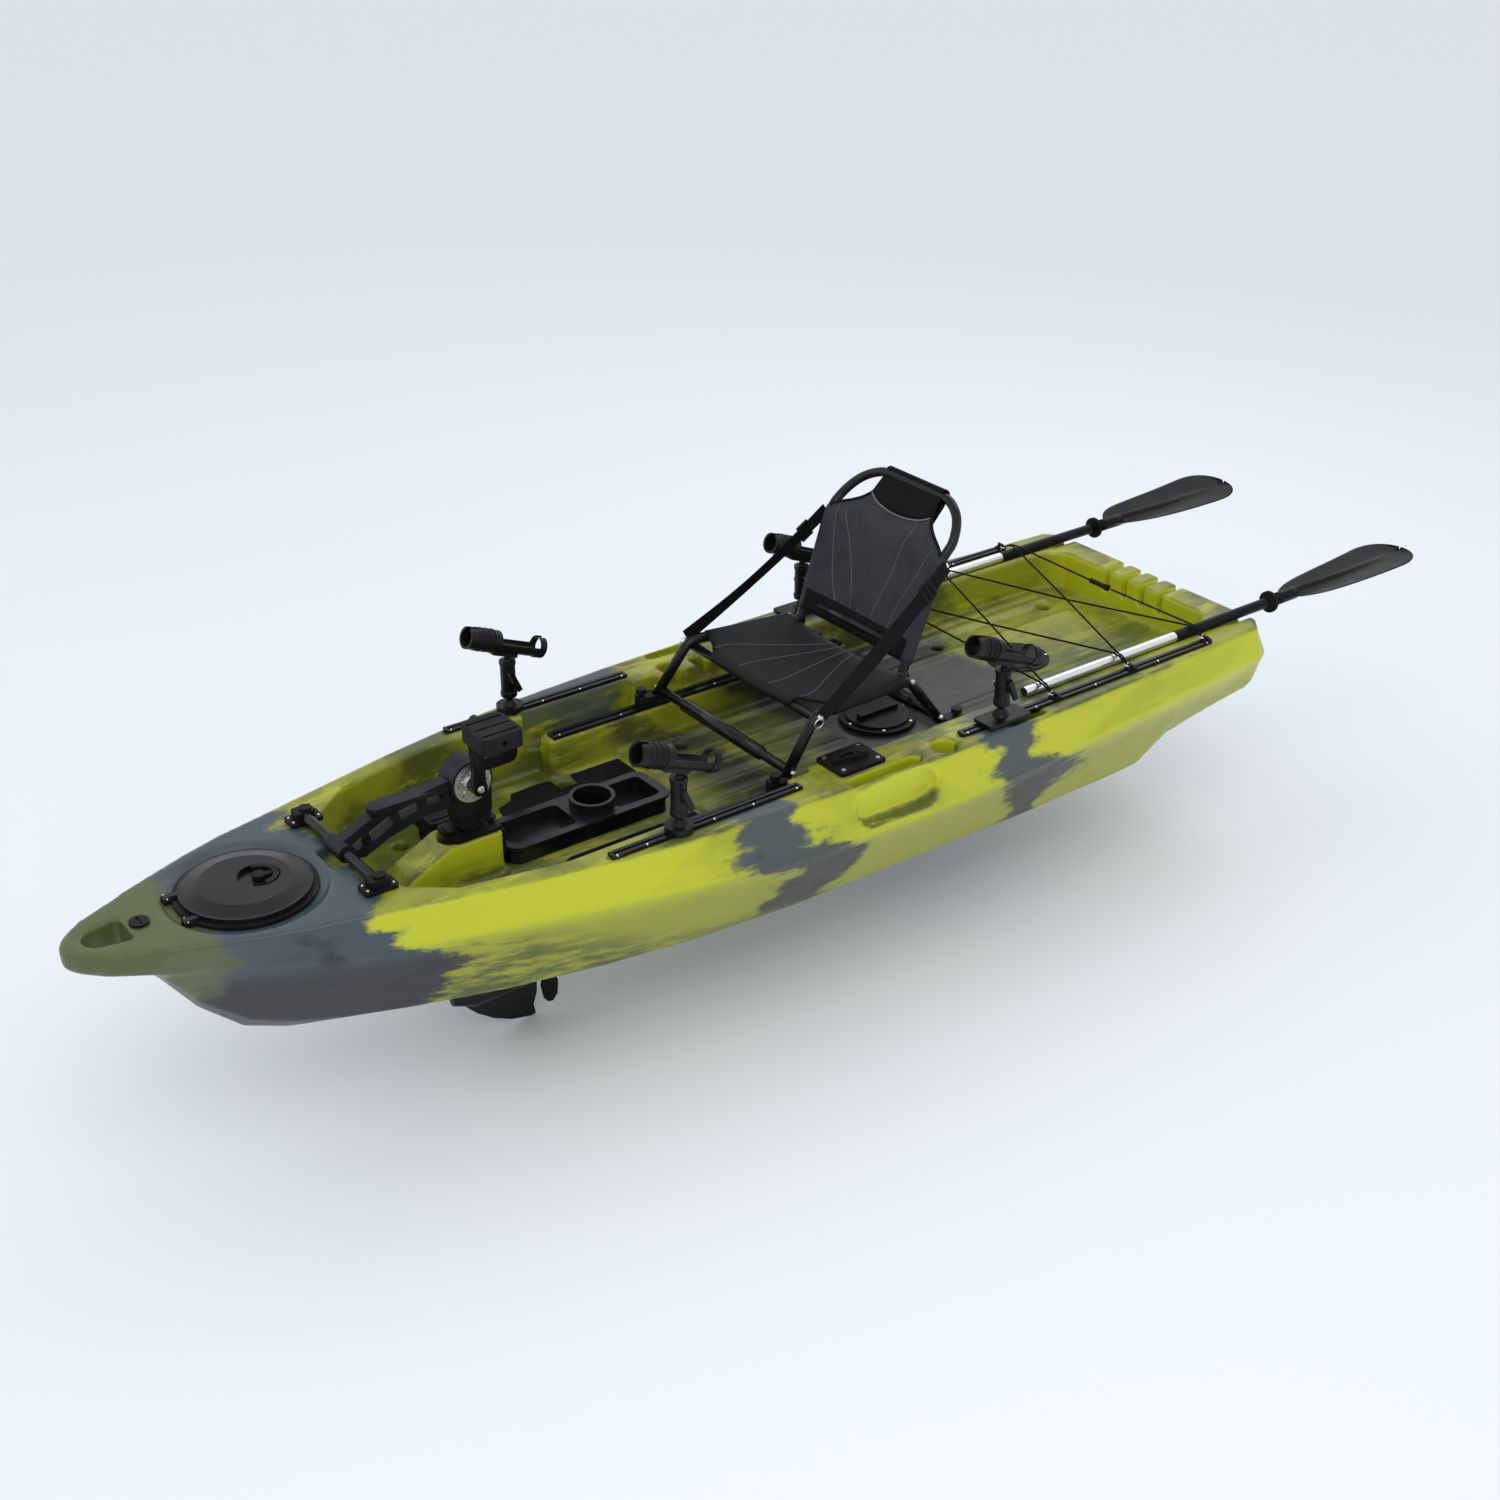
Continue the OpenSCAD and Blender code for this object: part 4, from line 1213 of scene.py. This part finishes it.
        back = Sling("back_cloth", "seat_back", self.back_line, self.back_tube,
                     self.back_r + self.cloth_gap, 0.011, rows, tongue)
        back.build(palette.by_slot["mesh_fabric"], "back_panel", "back_frame")
        fans = ((0.105, 0.115, 0.165, 0.190), (0.04, 0.05, 0.075, 0.085), (-0.035, -0.05, -0.105, -0.165),
                (-0.085, -0.12, -0.17, -0.193))
        for i, (a, b, c, d) in enumerate(fans):
            top = 0.345 if abs(c) < 0.1 else 0.305
            line = [(0.085, a), (0.14, b), (0.23, c * 0.9), (top, d * 0.9)]
            back.seam(f"back_seam_{i}", line, self.seam_lift, self.seam_r, seam)
        edge = [(0.298, 0.199), (0.306, 0.192), *((s, y) for s, y, _ in tongue[1:6]), (0.425, 0.095)]
        for k, side in enumerate((-1, 1)):
            back.seam(f"back_corner_binding_{k}", [(s, y * side) for s, y in edge], 0.0, 0.0040, binding)
        curve = [(0.368, 0.106), (0.352, 0.075), (0.344, 0.035), (0.342, 0.0), (0.344, -0.035),
                 (0.352, -0.075), (0.368, -0.106)]
        back.seam("head_piping", curve, 0.0030, 0.0017, palette.by_slot["piping"])
        self.patch(binding, back)
        self.foot_band(binding, back)

    def patch(self, material: bpy.types.Material, back: Sling) -> None:
        """The solid head patch that folds over the top tube.

        Args:
            material: its cloth.
            back: the back's sling.
        """
        across, foot, top_s, half = 12, 0.344, 0.430, 0.100
        shares = [1 - 2 * k / across for k in range(across + 1)]
        verts, uvs = [], []
        for t in (i / 8 for i in range(9)):
            for v in shares:
                low = foot + 0.026 * v ** 2
                s = low + (top_s - low) * t
                y = v * (0.106 - 0.006 * t)
                verts.append(back.surface(s, y) + back.up(s)[1] * 0.0035)
                uvs.append((y, s))
        top, out = self.back_line(top_s)
        along = (top - self.back_line(top_s - 0.030)[0]).normalized()
        reach = 0.0165
        folded = []
        for degrees in (60, 30, 0, -30, -60, -90, -120):
            a = math.radians(degrees)
            offset = along * reach * math.cos(a) + out * reach * math.sin(a)
            folded.append((offset, top_s + (60 - degrees) * 0.0003))
        folded += [(-along * drop - out * reach, 0.48 + drop) for drop in (0.02, 0.05, 0.085)]
        for offset, s in folded:
            for v in shares:
                verts.append(top + Vector((0, v * half, 0)) + offset)
                uvs.append((v * half, s))
        faces = grid_faces(9 + len(folded), across + 1)
        patch = make("head_patch", verts, faces, material, "seat_back", uvs)
        reshape(patch, ("SOLIDIFY", {"thickness": 0.003, "offset": 0.0})).shade_smooth()

    def foot_band(self, material: bpy.types.Material, back: Sling) -> None:
        """The solid band at the foot of the back.

        Args:
            material: its cloth.
            back: the back's sling.
        """
        rows, across = 5, 17
        wide, high = 0.38, 0.052
        verts, uvs = [], []
        for s in (0.036 + high * i / (rows - 1) for i in range(rows)):
            for k in range(across):
                y = (1 - k / 8) * self.back_tube(s) * 0.96
                verts.append(back.surface(s, y) + back.up(s)[1] * 0.0022)
                uvs.append((y, s))
        piece = make("back_foot_band", verts, grid_faces(rows, across), material, "seat_back", uvs)
        reshape(piece, ("SOLIDIFY", {"thickness": 0.0016, "offset": 1.0}))

    def straps(self, palette: Palette) -> None:
        """The webbing straps from the seat's front bolts to the back's side bolts.

        Args:
            palette: the boat's finishes.
        """
        web = palette.by_slot["webbing"]
        low, high = Vector((-0.141, 0.262, 0.444)), Vector((-0.541, 0.2215, 0.695))
        for tag, side in (("port", 1), ("starboard", -1)):
            a, b = (Vector((p.x, p.y * side, p.z)) for p in (low, high))
            path, wide = [], []
            for i in range(33):
                t = i / 32
                droop = 0.012 * math.sin(math.pi * t)
                path.append(a.lerp(b, t) - Vector((0, 0, droop)))
                twist = math.radians(18) * math.sin(math.pi * t)
                flat = Vector((b - a)).normalized().cross(Vector((0, 1, 0))).normalized()
                wide.append(flat * math.cos(twist) + Vector((0, 1, 0)) * math.sin(twist) * side)
            strap = band(f"seat_strap_{tag}", path, wide, self.strap_wide, 0.0024, web, "")
            if side > 0:
                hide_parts("seat_straps")
            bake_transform(strap)
            self.buckle(palette, tag, path[-6], wide[-6], (path[-5] - path[-7]).normalized())

    def buckle(self, palette: Palette, tag: str, spot: Vector, wide: Vector, along: Vector) -> None:
        """A ladder-lock buckle near the strap's upper end.

        Args:
            palette: the boat's finishes.
            tag: port or starboard.
            spot: its centre.
            wide: the direction across the strap.
            along: the direction along the strap.
        """
        bm = bmesh.new()
        out = along.cross(wide).normalized()
        turn = Matrix((wide, along, out)).transposed().to_4x4()
        for low, high in ((-0.018, -0.012), (-0.003, 0.003), (0.012, 0.018)):
            bar = (self.strap_wide + 0.012, high - low, 0.006)
            add_box(bm, spot + along * (low + high) / 2, bar, turn)
        for side in (-1, 1):
            off = side * (self.strap_wide / 2 + 0.004)
            add_box(bm, spot + wide * off, (0.005, 0.036, 0.0065), turn)
        piece = finish_mesh(f"strap_buckle_{tag}", mesh_of(bm, "buckle"), palette.by_slot["black_plastic"],
                            "seat_back", smooth=False)
        reshape(piece, ("BEVEL", {"width": 0.0012, "segments": 2}))

    def rings(self, palette: Palette) -> None:
        """The steel D-rings at the seat's front corners.

        Args:
            palette: the boat's finishes.
        """
        for tag, side in (("port", 1), ("starboard", -1)):
            centre, wide = Vector((-0.136, 0.262 * side, 0.436)), 0.013
            path = [centre + Vector((wide * math.cos(t), 0.003 * side * math.sin(t),
                                     wide * math.sin(t) - 0.008))
                    for t in (2 * math.pi * k / 24 for k in range(24))]
            ring = tube(f"seat_ring_{tag}", path, 0.0017, palette.by_slot["steel"], "seat", 8, closed=True)


@dataclass
class PedalStraps:
    """The webbing loops that hang under the pedals."""

    wide: float = 0.044
    thick: float = 0.003

    def build(self, palette: Palette) -> None:
        """Make both loops.

        Args:
            palette: the boat's finishes.
        """
        for tag, side, z, drop in (("port", 1, 0.585, 0.066), ("starboard", -1, 0.265, 0.062)):
            corners = [(-0.0445, -0.0192), (-0.0445, 0.020 - drop + 0.004)]
            corners += [(-0.026 - 0.0185 * math.cos(a), 0.020 - drop - 0.0185 * math.sin(a))
                        for a in (math.radians(d) for d in (15, 40, 65, 90))]
            points = corners + [(-x, y) for x, y in reversed(corners)]
            path = [Vector((CRANK.x + x, 0.129 * side, z + y)) for x, y in points]
            loop = band(f"pedal_strap_{tag}", path, [Vector((0, 1, 0))] * len(path), self.wide, self.thick,
                        palette.by_slot["webbing"], f"pedal_{tag}")
            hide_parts(f"strap_{tag}")


@dataclass
class CargoCord:
    """The elastic cord laced over the tank well, open at its hook joint."""

    radius: float = 0.0025
    eyes: tuple[float, float, float] = (-1.307, -1.034, -0.772)
    high: float = 0.372

    def hook(self, x: float, side: int, way: int) -> list[Point]:
        """The cord's turn through one ring.

        Args:
            x: the ring's place along the hull.
            side: 1 for port, -1 for starboard.
            way: which way the cord runs round the ring.

        Returns:
            The turn's points.
        """
        half = [(0.005, 0.322, self.high), (0.004, 0.342, self.high - 0.003),
                (0.003, 0.356, DECK_Z + 0.015)]
        return ([(x - way * dx, side * y, z) for dx, y, z in half] + [(x, side * 0.361, DECK_Z + 0.013)]
                + [(x + way * dx, side * y, z) for dx, y, z in reversed(half)])

    def route(self) -> list[Point]:
        """The whole run from one end of the joint to the other.

        Returns:
            The cord's points.
        """
        a, b, c = self.eyes
        z = self.high
        return ([(a, -0.030, z)] + self.hook(a, -1, 1) + [(-1.172, -0.006, z + 0.004)] + self.hook(b, 1, 1)
                + [(-0.903, 0.006, z - 0.004)] + self.hook(c, -1, -1) + [(c, 0.0, z)] + self.hook(c, 1, -1)
                + [(-0.903, -0.006, z + 0.004)] + self.hook(b, -1, -1) + [(-1.168, 0.006, z - 0.004)]
                + self.hook(a, 1, -1) + [(a, 0.046, z)])

    def build(self, palette: Palette) -> None:
        """Make the cord.

        Args:
            palette: the boat's finishes.
        """
        route = [Vector(p) for p in self.route()]
        piece = tube("cargo_cord", route, self.radius, palette.by_slot["cord"], "hull", 8)
        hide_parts("bungee")


@dataclass
class FootPads:
    """The foam pads under the paddler's heels."""

    thick: float = 0.006

    def build(self, palette: Palette) -> None:
        """Make the pads with rounded edges.

        Args:
            palette: the boat's finishes.
        """
        outline = [(0.085, 0.084), (0.085, 0.232), (0.222, 0.232), (0.226, 0.188), (0.274, 0.188),
                   (0.278, 0.234), (0.310, 0.240), (0.385, 0.236), (0.400, 0.210), (0.440, 0.196),
                   (0.452, 0.150), (0.452, 0.100), (0.425, 0.084)]
        bm = bmesh.new()
        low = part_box("foot_pads")[0].z
        for side in (-1, 1):
            base = bm.faces.new([bm.verts.new((x, y * side, low)) for x, y in outline])
            made = bmesh.ops.extrude_face_region(bm, geom=[base])
            tops = [v for v in made["geom"] if isinstance(v, bmesh.types.BMVert)]
            bmesh.ops.translate(bm, verts=tops, vec=(0, 0, self.thick))
        pads = finish_mesh("foot_pad_foam", mesh_of(bm, "foot_pad_foam"), palette.by_slot["foam"], "hull",
                           smooth=False)
        reshape(pads, ("BEVEL", {"width": 0.0022, "segments": 3, "limit_method": "ANGLE"}))
        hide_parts("foot_pads")


@dataclass
class Paddles:
    """The two stowed paddle halves' blades."""

    length: float = 0.500
    root_x: float = -1.668
    wide: float = 0.090
    y: float = 0.320
    z: float = 0.353
    feather: float = 4.0

    def half_width(self, t: float) -> tuple[float, float]:
        """The blade's edges at a place along it.

        Args:
            t: 0 at the root, 1 at the tip.

        Returns:
            How far the outer and inner edges stand from the centreline.
        """
        outer = 0.014 + (0.046 + (self.wide - 0.058) * t ** 0.8) * (1 - math.exp(-t / 0.07))
        inner = 0.014 + (0.040 + (self.wide - 0.054) * t) * (1 - math.exp(-t / 0.12))
        if t > 0.76:
            cut = max(0.0, 1 - ((t - 0.76) / 0.24) ** 2.6) ** 0.5
            outer, inner = outer * (0.03 + 0.97 * cut), inner * (0.03 + 0.97 * cut)
        return outer, inner

    def build(self, palette: Palette) -> None:
        """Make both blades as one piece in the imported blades' place.

        Args:
            palette: the boat's finishes.
        """
        verts, faces = [], []
        rows, across = 44, 28
        for side in (-1, 1):
            base = len(verts)
            for i in range(rows + 1):
                t = 1 - (1 - i / rows) ** 1.7
                outer, inner = self.half_width(t)
                x = self.root_x - self.length * t
                spoon = -0.004 * math.sin(math.pi * t) + 0.010 * t * t
                for face in (1, -1):
                    for k in range(across + 1):
                        v = -1 + 2 * k / across
                        reach = outer * v if v > 0 else inner * v
                        spine = math.exp(-(reach / 0.0085) ** 2)
                        ridge = 0.0135 * max(0.0, 1 - (t / 0.88) ** 2.2) * spine
                        edge = 0.0024 * (1 - abs(v) ** 6) + 0.0008
                        tilt = math.radians(self.feather) * reach
                        z = spoon + tilt + 0.010 * (v * v) + face * (edge + ridge)
                        verts.append((x, side * (self.y + reach), self.z + z))
            ring = 2 * (across + 1)
            for i in range(rows):
                a, b = base + i * ring, base + (i + 1) * ring
                for k in range(across):
                    faces.append((a + k, a + k + 1, b + k + 1, b + k))
                    c, d = a + across + 1 + k, b + across + 1 + k
                    faces.append((c + 1, c, d, d + 1))
                faces.append((a, b, b + across + 1, a + across + 1))
                faces.append((a + across, a + 2 * across + 1, b + 2 * across + 1, b + across))
            for start in (base, base + rows * ring):
                for a in range(start, start + across):
                    faces.append((a, a + across + 1, a + across + 2, a + 1))
        black = palette.by_slot["paddle_black"]
        blades = make("paddle_blade_pair", verts, faces, black, "paddles")
        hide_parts("paddle_blades")
        for tag, side in (("port", 1), ("starboard", -1)):
            path = [Vector((-1.640 - 0.02 * k, side * self.y, self.z)) for k in range(5)]
            neck = tube(f"paddle_neck_{tag}", path, 0.0168, black, "paddles", 24)


@dataclass
class RodHolders:
    """Ribs round the rod holders' tubes and the bolts in their arms."""

    tilt: float = math.radians(22)
    places: tuple[tuple[str, float, float], ...] = (
        ("fp", 0.311, 0.346), ("fs", 0.311, -0.346), ("rp", -0.592, 0.378), ("rs", -0.592, -0.378))

    def build(self, palette: Palette, bolts: Scatter, beads: Scatter) -> None:
        """Dress the four holders.

        Args:
            palette: the boat's finishes.
            bolts: the screw scatter.
            beads: the bead scatter.
        """
        along = Vector((math.cos(self.tilt), 0, math.sin(self.tilt)))
        up = Vector((-math.sin(self.tilt), 0, math.cos(self.tilt)))
        across, plastic = Vector((0, 1, 0)), palette.by_slot["holder_plastic"]
        for tag, x, y in self.places:
            centre = Vector((x, y, 0.523))
            for i, s in enumerate((0.046, 0.062, 0.078)):
                ring = [centre + along * s + 0.0272 * (across * math.cos(a) + up * math.sin(a))
                        for a in (2 * math.pi * k / 40 for k in range(40))]
                rib = tube(f"holder_rib_{tag}_{i}", ring, 0.0016, plastic, f"rod_tube_{tag}", 8, closed=True)
            spots = []
            for s in (0.054, 0.070, 0.088):
                for k in range(20):
                    a = 2 * math.pi * k / 20
                    out = across * math.cos(a) + up * math.sin(a)
                    spots.append((tuple(centre + along * s + out * 0.0262), tuple(out)))
            grip = beads.place(f"holder_grip_{tag}", spots, 0.0032, 0.0030, f"rod_tube_{tag}")
            spot = ((x, y - 0.0215, 0.433), (0, -1, 0))
            arm = bolts.place(f"arm_bolt_{tag}", [spot], 0.0055, 0.004, f"rod_arm_{tag}")


@dataclass
class Hardware:
    """The screws and bolts on the hull, seat and drive."""

    def build(self, palette: Palette, screws: Scatter) -> None:
        """Place them.

        Args:
            palette: the boat's finishes; not used.
            screws: the screw scatter.
        """
        up = (0, 0, 1)
        track_z, rail_z = 0.34845, 0.29545
        rows = ((0.346, 0.0092, track_z, (0.0, 0.12, 0.225, 0.40, 0.475)),
                (0.378, 0.0092, track_z, (-0.48, -0.70, -0.90, -1.12, -1.30)),
                (0.262, 0.0105, rail_z, (-0.60, -0.40, -0.22, -0.10, 0.06, 0.235)))
        hull = []
        for side in (-1, 1):
            hull += [((0.93 + dx, side * 0.168 + dy, 0.3552), up)
                     for dx in (-0.029, 0.029) for dy in (-0.012, 0.012)]
            for y, shift, z, places in rows:
                hull += [((x, side * y + shift, z), up) for x in places]
        screws.place("hull_screws", hull, 0.0032, 0.0016, "hull")
        bolts = ((-0.141, 0.2585, 0.440), (-0.440, 0.2325, 0.430), (-0.512, 0.2600, 0.326),
                 (-0.058, 0.2685, 0.328))
        seat = []
        for side in (-1, 1):
            seat += [((x, side * y, z), (0, side, 0)) for x, y, z in bolts]
        screws.place("seat_bolts", seat, 0.0062, 0.0042, "seat")
        back = [((-0.541, side * 0.2165, 0.695), (0, side, 0)) for side in (-1, 1)]
        screws.place("back_bolts", back, 0.0062, 0.0042, "seat_back")
        ring = 0.026
        drive = [((CRANK.x + ring * math.cos(a), side * 0.0325, CRANK.z + ring * math.sin(a)), (0, side, 0))
                 for side in (-1, 1) for a in (math.radians(22 + 60 * k) for k in range(6))]
        screws.place("hub_screws", drive, 0.0028, 0.0014, "drive")
        crank = [((CRANK.x, side * 0.0662, CRANK.z), (0, side, 0)) for side in (-1, 1)]
        screws.place("crank_bolts", crank, 0.0085, 0.0030, "cranks")
        lid = [((1.290, side * 0.052 + dy, 0.3475), up) for side in (-1, 1) for dy in (-0.0102, 0.0102)]
        screws.place("lid_screws", lid, 0.0018, 0.0012, "hull")


class Studio:
    """The floor, the lights and the camera."""

    lens: float = 48.03
    eye: Point = (2.406, 3.3437, 2.5265)
    right: Point = (-0.79746, 0.60334, 0.00573)
    high: Point = (-0.28391, -0.3836, 0.87877)
    aim: Point = (0, 0, 0.2)
    lamps: tuple[tuple[str, Point, float, float], ...] = (
        ("key", (1.2, 2.6, 4.2), 3.2, 52.0), ("fill", (3.4, -2.6, 2.6), 3.0, 14.0),
        ("rim", (-3.2, -1.4, 3.4), 2.6, 22.0))
    sky: Colour = (0.93, 0.96, 1.0)
    sky_strength: float = 0.86
    floor_half: float = 60.0
    floor_gap: float = 0.002

    def build(self, palette: Palette) -> None:
        """Make them.

        Args:
            palette: the boat's finishes.
        """
        self.lay_floor(palette)
        self.light()
        self.aim_camera()

    def lay_floor(self, palette: Palette) -> None:
        """Lay the floor just under the boat.

        Args:
            palette: the boat's finishes.
        """
        low = CAD_BOX[0][2] - self.floor_gap
        half = self.floor_half
        mesh = bpy.data.meshes.new("floor")
        corners = [(-half, -half, low), (half, -half, low), (half, half, low), (-half, half, low)]
        mesh.from_pydata(corners, [], [(0, 1, 2, 3)])
        mesh.materials.append(palette.floor)
        floor = bpy.data.objects.new("floor", mesh)
        bpy.context.collection.objects.link(floor)
        floor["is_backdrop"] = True

    def light(self) -> None:
        """Set the sky and the lamps."""
        world = bpy.data.worlds.new("studio")
        bpy.context.scene.world = world
        world.use_nodes = True
        sky = world.node_tree.nodes["Background"].inputs
        sky[0].default_value = (*self.sky, 1.0)
        sky[1].default_value = self.sky_strength
        bpy.context.scene.view_settings.view_transform = "Standard"
        for name, place, size, power in self.lamps:
            light = bpy.data.lights.new(name, "AREA")
            light.energy, light.size = power, size
            lamp = bpy.data.objects.new(name, light)
            lamp.location = place
            towards = Vector(self.aim) - Vector(place)
            lamp.rotation_euler = towards.to_track_quat("-Z", "Y").to_euler()
            bpy.context.collection.objects.link(lamp)

    def aim_camera(self) -> None:
        """Set the camera."""
        camera = bpy.data.cameras.new("camera")
        camera.lens, camera.sensor_width = self.lens, 36.0
        camera.clip_end = 200.0
        eye = bpy.data.objects.new("camera", camera)
        right, high = Vector(self.right), Vector(self.high)
        turn = Matrix((right, high, right.cross(high))).transposed().to_4x4()
        eye.matrix_world = Matrix.Translation(self.eye) @ turn
        bpy.context.collection.objects.link(eye)
        bpy.context.scene.camera = eye


def main() -> None:
    """Build the whole boat, piece by piece."""
    logging.basicConfig(level=logging.INFO, format="%(message)s")
    palette = Palette()
    palette.dress_nodes()
    Studio().build(palette)
    CargoCord().build(palette)
    HullShell().build(palette)
    FootPads().build(palette)
    seat = Seat()
    seat.tubes(palette)
    seat.cloths(palette)
    seat.straps(palette)
    seat.rings(palette)
    PedalStraps().build(palette)
    Paddles().build(palette)
    screws = Scatter("screw_heads", "screw", palette.by_slot["steel"])
    beads = Scatter("grip_beads", "bead", palette.by_slot["holder_plastic"])
    RodHolders().build(palette, screws, beads)
    Hardware().build(palette, screws)
    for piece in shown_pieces():
        LOG.info("piece %s", piece.name)


if __name__ == "__main__":
    main()
